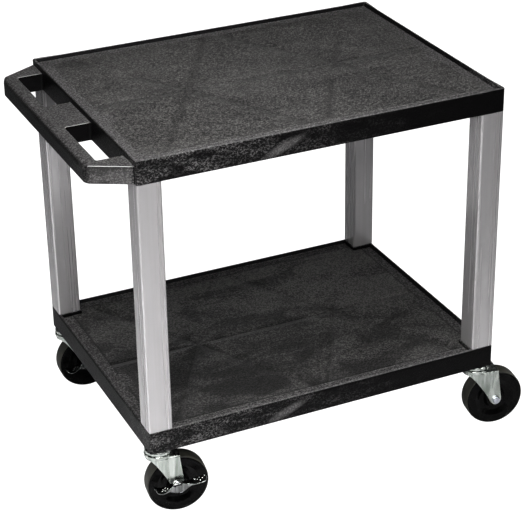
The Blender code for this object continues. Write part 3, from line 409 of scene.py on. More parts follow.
def paleness_and_painted_light_effect():
    """Where the skin is paler: a painted sheen on upper faces, the sides' flecks with a painted light on the
    front, painted glints on rounded edges, painted light on the handle's front, and the mark.
    """
    tree, given, out = new_effect("Skin paleness and painted light", {"Fade start": -0.20, "Fade end": 0.20},
                                  ("Upper", "Sides", "Painted glint", "Painted handle light", "Mark"))
    facing = parts_of(tree, node(tree, "ShaderNodeNewGeometry").outputs["Normal"])
    along, across, up = parts_of(tree, node(tree, "ShaderNodeTexCoord").outputs["Object"])
    to_front = times(tree, facing["Y"], -1.0)
    faces_front = spread(tree, to_front, 0.30, 0.75)
    on_handle = spread(tree, along, -0.304, -0.312)
    # Upper faces are painted paler, a painted sheen, a little less on the handle.
    upper = times(tree, spread(tree, facing["Z"], 0.45, 0.90), scaled(tree, on_handle, -0.20, 1.0))

    # The front is painted paler towards the handle, a painted light over the foam's own flecks, with a
    # wandering edge and a dark line at the seam.
    wander = noise(tree, surface_place(tree, (1.0, 1.0, 2.5)), 11.0, 3.0, distortion=1.2)
    shifted = math_node(tree, "ADD", along, scaled(tree, wander, 0.5, -0.25))
    share = math_node(tree, "DIVIDE", math_node(tree, "SUBTRACT", given["Fade end"], shifted),
                      math_node(tree, "SUBTRACT", given["Fade end"], given["Fade start"]))
    front = times(tree, faces_front, spread(tree, across, -0.175, -0.190))
    # The handle's front faces are painted paler: painted light.
    painted_handle_light = times(tree, front, on_handle)
    off_seam = math_node(tree, "ABSOLUTE", math_node(tree, "SUBTRACT", along, SEAM_PLACE))
    faded = times(tree, spread(tree, share, 0.0, 1.0), math_node(tree, "ADD", on_handle, 1.0))
    on_front = times(tree, times(tree, front, spread(tree, off_seam, 0.0006, 0.0018)), faded)
    end = spread(tree, times(tree, facing["X"], -1.0), 0.50, 0.90, 0.0, 0.80)
    on_end = times(tree, end, spread(tree, across, -0.06, -0.25))
    away = spread(tree, math_node(tree, "MAXIMUM", facing["X"], facing["Y"]), 0.50, 0.90)
    on_back = times(tree, away, spread(tree, share, -0.9, 1.0, 0.25, 0.75))
    sides = math_node(tree, "MAXIMUM", math_node(tree, "MAXIMUM", on_front, on_end), on_back)

    # The mark is a tilted ellipse at the same place on both shelves.
    upper_shelf = math_node(tree, "GREATER_THAN", up, (top_shelf_floor + bottom_shelf_floor) / 2)
    mark_up = scaled(tree, upper_shelf, top_shelf_floor - bottom_shelf_floor,
                     bottom_shelf_floor + MARK_CENTRE[1])
    off = node(tree, "ShaderNodeCombineXYZ", {
        0: math_node(tree, "SUBTRACT", along, MARK_CENTRE[0]), 2: math_node(tree, "SUBTRACT", up, mark_up)})
    tilted = node(tree, "ShaderNodeMapping", {"Vector": off.outputs[0], "Rotation": (0.0, MARK_TILT, 0.0)})
    shares = node(tree, "ShaderNodeVectorMath", {
        0: tilted.outputs["Vector"], 1: (MARK_HALF[0], 1.0, MARK_HALF[1])}, operation="DIVIDE")
    far = node(tree, "ShaderNodeVectorMath", {0: shares.outputs[0]}, operation="LENGTH").outputs["Value"]
    mark = times(tree, spread(tree, far, 1.20, 0.40), faces_front)

    # Painted glints on rounded edges that turn to the front, strongest on the handle.
    rounded = times(tree, spread(tree, facing["Z"], 0.52, 0.68), spread(tree, facing["Z"], 0.98, 0.88))
    turned = times(tree, rounded, spread(tree, to_front, 0.15, 0.45))
    painted_glint = times(tree, turned, scaled(tree, on_handle, 0.90, 0.10))
    wire(tree, out, {"Upper": upper, "Sides": sides, "Painted glint": painted_glint, "Painted handle light": painted_handle_light, "Mark": mark})
    return tree


def sink_effect():
    """Sink lines: the deck is drawn in a little over the star of ribs under it."""
    tree, given, out = new_effect("Rib sink lines", {"Half width": 0.009}, ("Depth",))
    place = node(tree, "ShaderNodeTexCoord").outputs["Object"]
    off = node(tree, "ShaderNodeVectorMath", {0: place, 1: (*shelf_centre, 0.0)}, operation="SUBTRACT")
    away = node(tree, "ShaderNodeVectorMath", {0: off.outputs[0]}, operation="ABSOLUTE")
    x, y, _ = parts_of(tree, away.outputs[0])
    nearest = times(tree, y, 2.2)
    from_x = math_node(tree, "SUBTRACT", x, STAR_CENTRE)
    for end_x in (0.0, STAR_END):
        run = Vector((end_x - STAR_CENTRE, shelf_half.y)).normalized()
        beside = scaled(tree, from_x, run.y, times(tree, y, -run.x))
        nearest = math_node(tree, "MINIMUM", nearest, math_node(tree, "ABSOLUTE", beside))
    share = math_node(tree, "DIVIDE", nearest, given["Half width"])
    close = math_node(tree, "SUBTRACT", 1.0, share, clamp=True)
    wire(tree, out, {"Depth": times(tree, close, spread(tree, noise(tree, place, 7.0, 1.0), 0.22, 0.46))})
    return tree


pebbled_grain = pebble_effect()
foam_swirl = swirl_effect()
skin_paleness_and_painted_light = paleness_and_painted_light_effect()
rib_sink = sink_effect()

# The moulding's smooth skin, on the skirt, the lip and the border.
shelf_skin, tree, shader = new_material("shelf_skin")
swirl = use_effect(tree, foam_swirl, Size=0.0026, Patch=0.038)
pale_masks_and_painted_light = use_effect(tree, skin_paleness_and_painted_light, Fade_start=-0.34, Fade_end=0.16)
grain = use_effect(tree, pebbled_grain, Size=0.0016, Unevenness=0.8)
sparks = math_node(tree, "POWER", swirl["Flecks"], 1.6)
flecked = times(tree, scaled(tree, sparks, 1.10, 0.08), scaled(tree, swirl["Patches"], 0.85, 0.15))
pale = times(tree, pale_masks_and_painted_light["Sides"], flecked)
# Painted sheen on upper faces and painted light on the handle's front, each over the foam's flecks, and the
# pale mark.
for mask, speckle, factor, shift in (("Upper", "Flecks", 0.74, 0.22), ("Painted handle light", "Patches", 0.28, 0.26),
                                     ("Mark", "Flecks", 0.50, 0.42)):
    level = times(tree, pale_masks_and_painted_light[mask], scaled(tree, swirl[speckle], factor, shift))
    pale = math_node(tree, "MAXIMUM", pale, level)
skin = blend_colours(tree, pale, (0.0048, 0.0046, 0.0048, 1), (0.180, 0.175, 0.174, 1))
# Painted glints: rounded edges that face the front are blended towards near white, and made glossier.
wire(tree, shader, {
    "Base Color": blend_colours(tree, pale_masks_and_painted_light["Painted glint"], skin, (0.70, 0.69, 0.68, 1)),
    "Roughness": scaled(tree, pale_masks_and_painted_light["Painted glint"], -0.10, 0.42),
    "Specular IOR Level": 0.11,
    "Normal": bumped(tree, scaled(tree, swirl["Flecks"], 0.8, grain["Height"]), 0.00020, 0.8),
})

# The pebbled field inside the border, with painted shade along the sink lines. The lower one also has a
# painted shade, darkest towards the front left, and a painted dark line at its edge.
shelf_field, tree, shader = new_material("shelf_field")
grain = use_effect(tree, pebbled_grain, Size=0.0024, Unevenness=0.9)
swirl = use_effect(tree, foam_swirl, Size=0.0024, Patch=0.080)
sink = use_effect(tree, rib_sink, Half_width=0.020)
patchy = scaled(tree, swirl["Flecks"], 0.82, times(tree, swirl["Patches"], 0.13))
# Painted shade along the sink lines.
painted_sink_shade = scaled(tree, spread(tree, sink["Depth"], 0.45, 1.0), -0.34, 1.0)
spot = parts_of(tree, surface_place(tree))
# The lower field's painted shade: darker towards the front left, with a painted dark line round the field's
# edge.
shade = scaled(tree, spread(tree, scaled(tree, spot["X"], 0.35, spot["Y"]), -0.26, 0.22), 0.68, 0.64)
past_edge = [
    math_node(tree, "SUBTRACT", math_node(tree, "ABSOLUTE", math_node(tree, "SUBTRACT", spot[axis], middle)),
              half - BORDER_INSET)
    for axis, middle, half in (("X", shelf_centre.x, shelf_half.x), ("Y", shelf_centre.y, shelf_half.y))]
painted_edge_shade = spread(tree, math_node(tree, "MAXIMUM", *past_edge), -0.0055, -0.0015)
shade = times(tree, shade, scaled(tree, painted_edge_shade, -0.85, 1.0))
shade = times(tree, shade, scaled(tree, swirl["Patches"], 1.10, 0.50))
on_bottom = math_node(tree, "LESS_THAN", spot["Z"], bottom_shelf_floor + 2 * SKIRT_HEIGHT)
shade = scaled(tree, on_bottom, math_node(tree, "SUBTRACT", shade, 1.0), 1.0)
shaded = times(tree, times(tree, patchy, painted_sink_shade), shade)
pebbles = bumped(tree, grain["Height"], 0.00060, 1.0)
wire(tree, shader, {
    "Base Color": blend_colours(tree, shaded, (0.012, 0.0116, 0.0116, 1), (0.150, 0.146, 0.141, 1)),
    "Roughness": scaled(tree, patchy, 0.10, 0.50),
    "Specular IOR Level": 0.35,
    "Normal": bumped(tree, times(tree, sink["Depth"], -1.0), 0.00300, 1.0, pebbles),
})

for name, floor_z in (("bottom_shelf", bottom_shelf_floor), ("top_shelf", top_shelf_floor)):
    bm = bmesh.new()
    tray_body(bm, floor_z, SKIRT_HEIGHT - LIP_HEIGHT - DECK_THICKNESS, 0, 1)
    deck_underside(bm, floor_z, 0)
    if name == "bottom_shelf":
        for side_x, side_y in CORNER_SIDES.values():
            outer = shelf_half - Vector((LIP_TOP_WIDTH, LIP_TOP_WIDTH)) / 2
            xs = sorted((side_x * outer.x, side_x * (shelf_half.x - PAD_SIDE)))
            ys = sorted((side_y * outer.y, side_y * (shelf_half.y - PAD_SIDE)))
            pad_low = (xs[0], ys[0], SKIRT_HEIGHT - LIP_HEIGHT - HAIR)
            pad_high = (xs[1], ys[1], SKIRT_HEIGHT - HAIR / 3)
            soft_box(bm, pad_low, pad_high, LIP_INNER_ROUND, 0, Matrix.Translation((*shelf_centre, floor_z)))
    shelf = finish_mesh(bm, name + "_moulding", (shelf_skin, shelf_field))
    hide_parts(name)
    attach(shelf, "cart")


# The push handle.
# Part of the top shelf's moulding, set a little below its lip: a rounded grip with a plain bridge
# in the middle, two hand holes, and hollow webs that show only from below.

HANDLE_REACH = 0.0632
HANDLE_GRIP_WIDTH = 0.0220
HANDLE_TOP = 0.0294
HANDLE_FOOT = 0.0010
HANDLE_END_INSET = 0.0386
HANDLE_CORNER = 0.0150
GRIP_ROUND = 0.0100
HANDLE_EDGE_ROUND = 0.0014
HANDLE_FOOT_ROUND = 0.0020
HANDLE_SEAM = 0.0014
BRIDGE_WIDTH = 0.0900
HAND_HOLE_LENGTH = 0.1350
HAND_HOLE_CORNER = 0.0040
HAND_HOLE_EDGE = 0.0011
WEB_WALL = 0.0040
WEB_DEPTH = 0.0244
HANDLE_CORNER_STEPS = 14
GRIP_STEPS = 10
FOOT_STEPS = 4
HOLE_STEPS = 4


def filleted(corners, steps=8):
    """Points of an outline whose corners, each (a, b, radius), are rounded to their radius."""
    points = []
    for i, (a, b, radius) in enumerate(corners):
        corner = Vector((a, b))
        if not radius:
            points.append(corner)
            continue
        before = (Vector(corners[i - 1][:2]) - corner).normalized()
        after = (Vector(corners[(i + 1) % len(corners)][:2]) - corner).normalized()
        half_angle = before.angle(after) / 2
        centre = corner + (before + after).normalized() * radius / math.sin(half_angle)
        first = corner + before * radius / math.tan(half_angle) - centre
        last = corner + after * radius / math.tan(half_angle) - centre
        turn = first.angle_signed(last)
        for step in range(steps + 1):
            points.append(centre + Matrix.Rotation(-turn * step / steps, 2) @ first)
    return points


def outline_normals(points):
    """The outward direction at each point of an anticlockwise outline."""
    normals = []
    for i, point in enumerate(points):
        run = (point - points[i - 1]).normalized() + (points[(i + 1) % len(points)] - point).normalized()
        normals.append(Vector((run.y, -run.x)).normalized())
    return normals


def fill_between(bm, loops):
    """Faces over a flat region with holes, from the loops of vertices round it."""
    edges = {bm.edges.get((loop[i - 1], loop[i])) for loop in loops for i in range(len(loop))}
    bmesh.ops.triangle_fill(bm, use_beauty=True, edges=list(edges))


def rounded_rectangle(x_low, x_high, y_low, y_high, radius, steps=5):
    return filleted([(x_low, y_low, radius), (x_high, y_low, radius), (x_high, y_high, radius),
                     (x_low, y_high, radius)], steps)


bm = bmesh.new()
wall_x = -shelf_half.x
root_x = wall_x + SKIRT_WALL / 2
outer_x = wall_x - HANDLE_REACH
end_y = shelf_half.y - HANDLE_END_INSET
root_y = shelf_half.y - SHELF_CORNER * HANDLE_END_INSET / HANDLE_REACH - HANDLE_SEAM
outline = filleted([(root_x, root_y, 0), (wall_x, root_y, 0), (outer_x, end_y, HANDLE_CORNER),
                    (outer_x, -end_y, HANDLE_CORNER), (wall_x, -root_y, 0), (root_x, -root_y, 0)],
                   HANDLE_CORNER_STEPS)
normals = outline_normals(outline)
taper_turn = HANDLE_END_INSET / math.hypot(HANDLE_END_INSET, HANDLE_REACH)


def grip_ring(turn, height, round_at_end, round_at_grip):
    """A ring round the handle, drawn in for the rounding of its edge at this turn of the arc."""
    points = []
    for point, normal in zip(outline, normals):
        grow = min(max((-normal.x - taper_turn) / (1 - taper_turn), 0), 1)
        radius = round_at_end + (round_at_grip - round_at_end) * grow * grow
        inset = radius * (1 - math.cos(turn))
        drop = radius * (1 - math.sin(turn))
        x, y = point - normal * inset
        points.append(Vector((x, y, height - drop if height > HANDLE_FOOT else height + drop)))
    return points


foot_rings = [grip_ring(math.pi / 2 * step / FOOT_STEPS, HANDLE_FOOT, HANDLE_FOOT_ROUND, HANDLE_FOOT_ROUND)
              for step in range(FOOT_STEPS, -1, -1)]
top_rings = [grip_ring(math.pi / 2 * step / GRIP_STEPS, HANDLE_TOP, HANDLE_EDGE_ROUND, GRIP_ROUND)
             for step in range(GRIP_STEPS + 1)]
made = loft(bm, foot_rings + top_rings)
top_loops, foot_loops = [made[-1]], [made[0]]
grip_x = outer_x + HANDLE_GRIP_WIDTH
for side in (-1, 1):
    ys = sorted((side * BRIDGE_WIDTH / 2, side * (BRIDGE_WIDTH / 2 + HAND_HOLE_LENGTH)))
    hole_rings = []
    for step in range(HOLE_STEPS + 1):
        turn = math.pi / 2 * step / HOLE_STEPS
        spread_out = HAND_HOLE_EDGE * (1 - math.sin(turn))
        drop = HAND_HOLE_EDGE * (1 - math.cos(turn))
        ring = rounded_rectangle(grip_x - spread_out, wall_x + HAIR, ys[0] - spread_out, ys[1] + spread_out,
                                 HAND_HOLE_CORNER)
        hole_rings.append([Vector((x, y, HANDLE_TOP - drop)) for x, y in ring])
    hole_rings.append([Vector((x, y, HANDLE_FOOT)) for x, y, _ in hole_rings[-1]])
    hole = loft(bm, hole_rings)
    top_loops.append(hole[0])
    foot_loops.append(hole[-1])
    web_low, web_high = sorted((side * WEB_WALL / 2, side * (BRIDGE_WIDTH / 2 - WEB_WALL)))
    bridge_web = rounded_rectangle(
        grip_x + WEB_WALL / 2, wall_x - WEB_WALL / 2, web_low, web_high, WEB_WALL / 2)
    near_y = BRIDGE_WIDTH / 2 + HAND_HOLE_LENGTH + WEB_WALL
    far_y = shelf_half.y - 2 * WEB_WALL
    slope = HANDLE_END_INSET / HANDLE_REACH
    end_corners = [(wall_x - WEB_WALL / 2, side * near_y, WEB_WALL / 4),
                   (wall_x - WEB_WALL / 2, side * far_y, WEB_WALL / 4),
                   (grip_x, side * (far_y - slope * (wall_x - grip_x)), WEB_WALL / 4),
                   (grip_x, side * near_y, WEB_WALL / 4)]
    for web in (bridge_web, filleted(end_corners, 3)):
        rings = [[Vector((x, y, z)) for x, y in web] for z in (HANDLE_FOOT, WEB_DEPTH)]
        foot_loops.append(loft(bm, rings, close_end=True)[0])
fill_between(bm, top_loops)
fill_between(bm, foot_loops)
bm.transform(Matrix.Translation((*shelf_centre, top_shelf_floor)))
handle = finish_mesh(bm, "push_handle", (shelf_skin,), 32.0)
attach(handle, "cart")


# The four legs.
# Square plastic tubes in pale warm grey, extruded and cut square. Each slides over a plug on the
# shelf above and the shelf below, so no fastener shows.

LEG_CORNER = 0.0035
LEG_WALL = 0.0025
LEG_CUT_ROUND = 0.0004


def extrusion_effect():
    """Fine lines that a die leaves along an extruded tube."""
    tree, given, out = new_effect("Extrusion lines", {"Spacing": 0.0009}, ("Lines",))
    fineness = math_node(tree, "DIVIDE", 1.0, given["Spacing"])
    wire(tree, out, {"Lines": noise(tree, surface_place(tree, (1.0, 1.0, 0.012)), fineness, 4.0, 0.6)})
    return tree


# The legs' plastic. The back legs are painted darker towards their tops: a painted shade of the upper shelf.
leg_plastic, tree, shader = new_material("leg_plastic")
extrusion_lines = extrusion_effect()
lines = use_effect(tree, extrusion_lines, Spacing=0.0014)["Lines"]
band = spread(tree, use_effect(tree, extrusion_lines, Spacing=0.0110)["Lines"], 0.30, 0.70)
tone = scaled(tree, lines, 0.45, times(tree, band, 0.55))
where = parts_of(tree, surface_place(tree))
painted_top_shade = times(tree, spread(tree, where["Z"], 0.455, 0.560), spread(tree, where["Y"], 0.00, 0.10))
grey = blend_colours(tree, tone, (0.49, 0.477, 0.480, 1), (0.59, 0.575, 0.578, 1))
wire(tree, shader, {
    "Base Color": blend_colours(tree, times(tree, painted_top_shade, 0.88), grey, (0.07, 0.069, 0.069, 1)),
    "Roughness": scaled(tree, band, -0.03, 0.28),
    "Metallic": 0.50,
    "Normal": bumped(tree, lines, 0.00003, 0.4),
})

for corner in CORNER_SIDES:
    name = "leg_" + corner
    leg_low, leg_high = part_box(name)
    bm = bmesh.new()
    centre = (leg_low + leg_high) / 2
    half = (leg_high.x - leg_low.x) / 2

    def square_ring(inset, height):
        radius = max(LEG_CORNER - inset, LEG_CUT_ROUND)
        reach = half - inset
        plan = rounded_rectangle(-reach, reach, -reach, reach, radius, 6)
        return [Vector((centre.x + x, centre.y + y, height)) for x, y in plan]

    cut = LEG_CUT_ROUND
    rings = [
        square_ring(LEG_WALL, leg_low.z), square_ring(cut, leg_low.z), square_ring(0, leg_low.z + cut),
        square_ring(0, leg_high.z - cut), square_ring(cut, leg_high.z), square_ring(LEG_WALL, leg_high.z),
    ]
    loft(bm, rings + rings[:1])
    bmesh.ops.remove_doubles(bm, verts=bm.verts, dist=WELD)
    leg = finish_mesh(bm, name + "_tube", (leg_plastic,))
    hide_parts(name)
    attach(leg, "cart")


# The four reinforcing bars.
# Flat aluminium strip, sawn to length and slid into saddles under each deck, where it stiffens
# the shelf. Only a view from below shows it.

SAWN_EDGE = 0.0005

bar_aluminium, tree, shader = new_material("bar_aluminium")
brushed = noise(tree, surface_place(tree, (0.02, 1.0, 1.0)), 1500.0, 4.0, 0.7)
stains = noise(tree, surface_place(tree), 30.0, 4.0)
wire(tree, shader, {
    "Base Color": blend_colours(tree, stains, (0.60, 0.61, 0.62, 1), (0.78, 0.79, 0.80, 1)),
    "Metallic": 1.0,
    "Roughness": scaled(tree, brushed, 0.25, 0.25),
    "Normal": bumped(tree, brushed, 0.00004, 0.6),
})

for shelf_name in ("top", "bottom"):
    for side_name in ("front", "back"):
        name = f"{shelf_name}_bar_{side_name}"
        bm = bmesh.new()
        soft_box(bm, *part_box(name), SAWN_EDGE)
        bar = finish_mesh(bm, name + "_strip", (bar_aluminium,))
        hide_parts(name)
        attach(bar, "cart")


# The caster stems.
# A turned steel kingpin with a rivet head under the fork's crown, pressed into a nylon sleeve in
# the shelf's corner boss. The races and the fork hang on it.


def plating_effect():
    """Bright zinc: a faint spangle and clouding, with the drag lines of tumbled small parts."""
    tree, given, out = new_effect("Zinc clouding", {"Size": 0.006}, ("Cloud", "Drag"))
    fineness = math_node(tree, "DIVIDE", 1.0, given["Size"])
    cloud = noise(tree, surface_place(tree, (1.0, 1.0, 0.18)), fineness, 2.5, 0.45, 0.3)
    drag = noise(tree, surface_place(tree, (1.0, 1.0, 0.25)), times(tree, fineness, 14.0), 4.0, 0.7)
    wire(tree, out, {"Cloud": spread(tree, cloud, 0.3, 0.7), "Drag": drag})
    return tree


def metal_material(name, dark, light, dullest, shiniest, cloud_size, drag_depth):
    """A metal whose tint and polish vary with its clouding and its drag lines."""
    material, tree, shader = new_material(name)
    zinc = use_effect(tree, zinc_clouding, Size=cloud_size)
    dullness = scaled(tree, zinc["Drag"], 0.5, times(tree, zinc["Cloud"], 0.5))
    wire(tree, shader, {
        "Base Color": blend_colours(tree, zinc["Cloud"], (*dark, 1), (*light, 1)),
        "Metallic": 1.0,
        "Roughness": spread(tree, dullness, 0.2, 0.8, shiniest, dullest),
        "Normal": bumped(tree, zinc["Drag"], drag_depth, 0.5),
    })
    return material


def nylon_material(name, dark, light, roughness):
    """Plain moulded nylon with a faint cloudiness and a very fine grain."""
    material, tree, shader = new_material(name)
    grain = use_effect(tree, pebbled_grain, Size=0.0007, Unevenness=0.6)
    wire(tree, shader, {
        "Base Color": blend_colours(tree, grain["Mottle"], (*dark, 1), (*light, 1)),
        "Roughness": scaled(tree, grain["Mottle"], 0.08, roughness),
        "Normal": bumped(tree, grain["Height"], 0.00003, 0.5),
    })
    return material


def coat_node(name, material):
    """Gives a working part that keeps its shape its finished material."""
    for slot in frame["nodes"][name].material_slots:
        slot.material = material


zinc_clouding = plating_effect()
stem_steel = metal_material("stem_steel", (0.46, 0.46, 0.46), (0.58, 0.58, 0.59), 0.38, 0.22, 0.004, 0.00004)
socket_nylon = nylon_material("socket_nylon", (0.018, 0.018, 0.019), (0.030, 0.030, 0.032), 0.45)

for corner in CORNER_SIDES:
    coat_node(corner + "_stem", stem_steel)
    coat_node(corner + "_socket_sleeve", socket_nylon)


# The swivel races.
# A pressed cup under the shelf's corner, a ring of steel balls in the dark gap, and the fork's own
# race below. The cups are zinc plated, and the balls are a dark steel.

RACE_STEPS = 64
PRESSED_ROUND = 0.0012
BALL_COUNT = 24
BALL_RADIUS = 0.0012
CUP_BORE_SHARE = 0.35
CUP_TOP_SHARE = 0.96
CUP_SHOULDER_SHARE = 0.70
BALL_RING_BORE_SHARE = 0.62
BALL_SHOWN_SHARE = 0.8


def lathe(bm, profile, steps=RACE_STEPS, axis="Z", place=Matrix.Identity(4)):
    """A closed profile of (radius, height) points turned about an axis."""
    turn = place @ (Matrix.Rotation(math.pi / 2, 4, "X") if axis == "Y" else Matrix.Identity(4))
    rings = []
    for radius, height in profile:
        angles = [2 * math.pi * step / steps for step in range(steps)]
        rings.append([turn @ Vector((radius * math.cos(a), radius * math.sin(a), height)) for a in angles])
    loft(bm, rings + rings[:1])
    bmesh.ops.remove_doubles(bm, verts=bm.verts, dist=WELD)


def turned_ring(bore, radius, z_low, z_high, rounding, steps=5):
    """The profile of a ring whose outer edges are rounded."""
    return filleted([(bore, z_high, 0), (radius, z_high, rounding), (radius, z_low, rounding),
                     (bore, z_low, 0)], steps)


def node_points(name):
    """The corners of a working piece's own mesh, in the cart's frame."""
    piece = frame["nodes"][name]
    return [piece.matrix_world @ vert.co for vert in piece.data.vertices]


zinc_plate = metal_material("zinc_plate", (0.30, 0.33, 0.30), (0.66, 0.69, 0.655), 0.31, 0.19, 0.009, 0.00001)
bearing_steel = metal_material(
    "bearing_steel", (0.10, 0.10, 0.10), (0.22, 0.22, 0.23), 0.45, 0.25, 0.003, 0.00003)

for corner in CORNER_SIDES:
    name = corner + "_upper_race"
    race_low, race_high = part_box(name)
    centre = Matrix.Translation((*((race_low + race_high) / 2).xy, 0.0))
    radius = (race_high.x - race_low.x) / 2
    height = race_high.z - race_low.z
    bm = bmesh.new()
    lathe(bm, filleted([
        (radius * CUP_BORE_SHARE, race_high.z, 0),
        (radius * CUP_TOP_SHARE, race_high.z, PRESSED_ROUND / 4),
        (radius, race_low.z + height * CUP_SHOULDER_SHARE, PRESSED_ROUND),
        (radius, race_low.z, PRESSED_ROUND / 2),
        (radius * CUP_BORE_SHARE, race_low.z, 0),
    ], 6), place=centre)
    cup = finish_mesh(bm, name + "_cup", (zinc_plate,), 50.0)
    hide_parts(name)
    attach(cup, "cart")

    name = corner + "_ball_ring"
    ring_low, ring_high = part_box(name)
    radius = (ring_high.x - ring_low.x) / 2
    bm = bmesh.new()
    ball_path = radius - BALL_RADIUS
    seat = turned_ring(radius * BALL_RING_BORE_SHARE, ball_path, ring_low.z, ring_high.z, HAIR)
    lathe(bm, seat, place=centre)
    for ball in range(BALL_COUNT):
        spot = Matrix.Rotation(2 * math.pi * ball / BALL_COUNT, 4, "Z") @ Vector((ball_path, 0, 0))
        spot.z = (ring_low.z + ring_high.z) / 2
        bmesh.ops.create_icosphere(bm, subdivisions=2, radius=BALL_RADIUS * BALL_SHOWN_SHARE,
                                   matrix=centre @ Matrix.Translation(spot))
    balls = finish_mesh(bm, name + "_balls", (bearing_steel,), 60.0)
    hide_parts(name)
    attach(balls, corner + "_caster")


# The forks.
# Each is one stamping in zinc plated steel: a crown with a round front, bent down into two legs
# whose front edges slant back to the axle, and a pressed race standing on the crown.

FORK_PLATE = 0.0025
FORK_HALF_WIDTH = 0.0205
FORK_BEND = 0.0030
FORK_FOOT = 0.0090
FORK_NOSE = 0.0310
FORK_TAIL = 0.0025
FORK_CREASE = 0.0012
FORK_BROW_DROP = 0.0040
FORK_BROW_SHARE = -0.78
FORK_THROAT_SHARES = (-0.29, 0.84)
FOOT_START_DEG = 210
FOOT_END_DEG = 362
CROWN_DEPTH = 0.0063
RACE_RADIUS = 0.0225
RACE_ROUND = 0.0018
PIN_HOLE = 0.0058
SHEET_EDGE = 0.0004
SHEET_WELD = 1e-5
FOOT_ARC_STEPS = 14
SLANT_STEPS = 16
NOSE_STEPS = 20
BEND_STEPS = 5
WALL_STEPS = 4
PIN_STEPS = 32


def joint_value(name, key):
    """A point or an axis of the joint with this name."""
    return Vector(next(joint for joint in frame["joints"] if joint["name"] == name)[key])


def caster_place(corner):
    """The caster's own frame: over the floor under its swivel, with X towards its axle."""
    swivel = joint_value(corner + "_swivel", "pos_m")
    along = joint_value(corner + "_roll", "axis")
    yaw = math.atan2(-along.x, along.y)
    return Matrix.Translation((swivel.x, swivel.y, 0.0)) @ Matrix.Rotation(yaw, 4, "Z")


def caster_axle(corner):
    """How far the axle trails the swivel, and its height over the floor."""
    axle = joint_value(corner + "_roll", "pos_m")
    return (axle - joint_value(corner + "_swivel", "pos_m")).xy.length, axle.z


def fork_leg_edge(trail, axle_z, crown_z):
    """The leg's edge seen from the side, from the crown's front, round the foot, to its back."""
    brow = Vector((FORK_HALF_WIDTH * FORK_BROW_SHARE, crown_z - FORK_PLATE - FORK_BROW_DROP))
    throat = Vector((FORK_HALF_WIDTH * FORK_THROAT_SHARES[0],
                     axle_z + (crown_z - axle_z) * FORK_THROAT_SHARES[1]))
    foot = []
    for step in range(FOOT_ARC_STEPS + 1):
        angle = math.radians(FOOT_START_DEG + (FOOT_END_DEG - FOOT_START_DEG) * step / FOOT_ARC_STEPS)
        foot.append(Vector((trail, axle_z)) + FORK_FOOT * Vector((math.cos(angle), math.sin(angle))))
    slant = []
    for step in range(SLANT_STEPS):
        t = step / SLANT_STEPS
        slant.append(brow.lerp(throat, t).lerp(throat.lerp(foot[0], t), t))
    return brow, slant, foot


def fork_sheet(bm, trail, axle_z, crown_z):
    """The outside of the stamping as one sheet: crown, bend and the wall with its cut edge."""
    brow, slant, foot = fork_leg_edge(trail, axle_z, crown_z)
    tail_x = trail + FORK_TAIL
    nose_x = FORK_NOSE - FORK_HALF_WIDTH
    columns = []
    cut = [Vector((-FORK_HALF_WIDTH, brow.y))] + slant + foot

    def cut_height(x):
        for a, b in zip(cut, cut[1:]):
            if a.x <= x <= b.x and b.x > a.x:
                return a.y + (b.y - a.y) * (x - a.x) / (b.x - a.x)
        return brow.y

    for step in range(NOSE_STEPS + 1):
        angle = math.pi - math.pi / 2 * step / NOSE_STEPS
        creased = FORK_HALF_WIDTH + FORK_CREASE
        edge = Vector((nose_x + FORK_NOSE * math.cos(angle), creased * math.sin(angle)))
        out = Vector((FORK_HALF_WIDTH * math.cos(angle), FORK_NOSE * math.sin(angle))).normalized()
        columns.append((edge, out, Vector((edge.x, cut_height(edge.x)))))
    rest = [point for point in cut if point.x > nose_x]
    for i, point in enumerate(rest):
        share = (i + 1) / len(rest)
        edge = Vector((nose_x + (tail_x - nose_x) * share, FORK_HALF_WIDTH))
        columns.append((edge, Vector((0.0, 1.0)), point))
    half = []
    for top, out, bottom in columns:
        column = []
        for step in range(BEND_STEPS + 1):
            turn = math.pi / 2 * step / BEND_STEPS
            spot = top - out * FORK_BEND * (1 - math.sin(turn))
            column.append(Vector((spot.x, spot.y, crown_z - FORK_BEND * (1 - math.cos(turn)))))
        wall_top = crown_z - FORK_BEND
        for step in range(1, WALL_STEPS + 1):
            x = top.x + (bottom.x - top.x) * step / WALL_STEPS
            z = wall_top + (bottom.y - wall_top) * step / WALL_STEPS
            column.append(Vector((x, top.y, z)))
        half.append(column)
    mirrored = [[Vector((p.x, -p.y, p.z)) for p in column] for column in half[:0:-1]]
    grid = [[bm.verts.new(p) for p in column] for column in mirrored + half]
    for left, right in zip(grid, grid[1:]):
        for i in range(len(left) - 1):
            bm.faces.new((left[i], right[i], right[i + 1], left[i + 1]))
    rim = [column[0] for column in grid]
    hole = []
    for step in range(PIN_STEPS):
        angle = 2 * math.pi * step / PIN_STEPS
        hole.append(bm.verts.new((PIN_HOLE * math.cos(angle), PIN_HOLE * math.sin(angle), crown_z)))
    edges = [bm.edges.get((a, b)) for a, b in zip(rim, rim[1:])] + [bm.edges.new((rim[-1], rim[0]))]
    edges += [bm.edges.new((hole[i - 1], hole[i])) for i in range(len(hole))]
    bmesh.ops.triangle_fill(bm, use_beauty=True, edges=edges)


def thicken(bm, plate, edge_round):
    """Turns the sheet in this mesh, drawn on its outer face, into plate with sheared, eased edges."""
    sheet = bpy.data.meshes.new("sheet")
    bm.to_mesh(sheet)
    working = bpy.data.objects.new("sheet", sheet)
    bpy.context.scene.collection.objects.link(working)
    thick = working.modifiers.new("Plate", "SOLIDIFY")
    thick.thickness = plate
    thick.offset = -1.0
    edge = working.modifiers.new("Sheared edge", "BEVEL")
    edge.width = edge_round
    edge.segments = 2
    edge.limit_method = "ANGLE"
    edge.angle_limit = math.radians(55)
    made = bpy.data.meshes.new_from_object(working.evaluated_get(bpy.context.evaluated_depsgraph_get()))
    bpy.data.objects.remove(working)
    bm.clear()
    bm.from_mesh(made)
    bpy.data.meshes.remove(made)


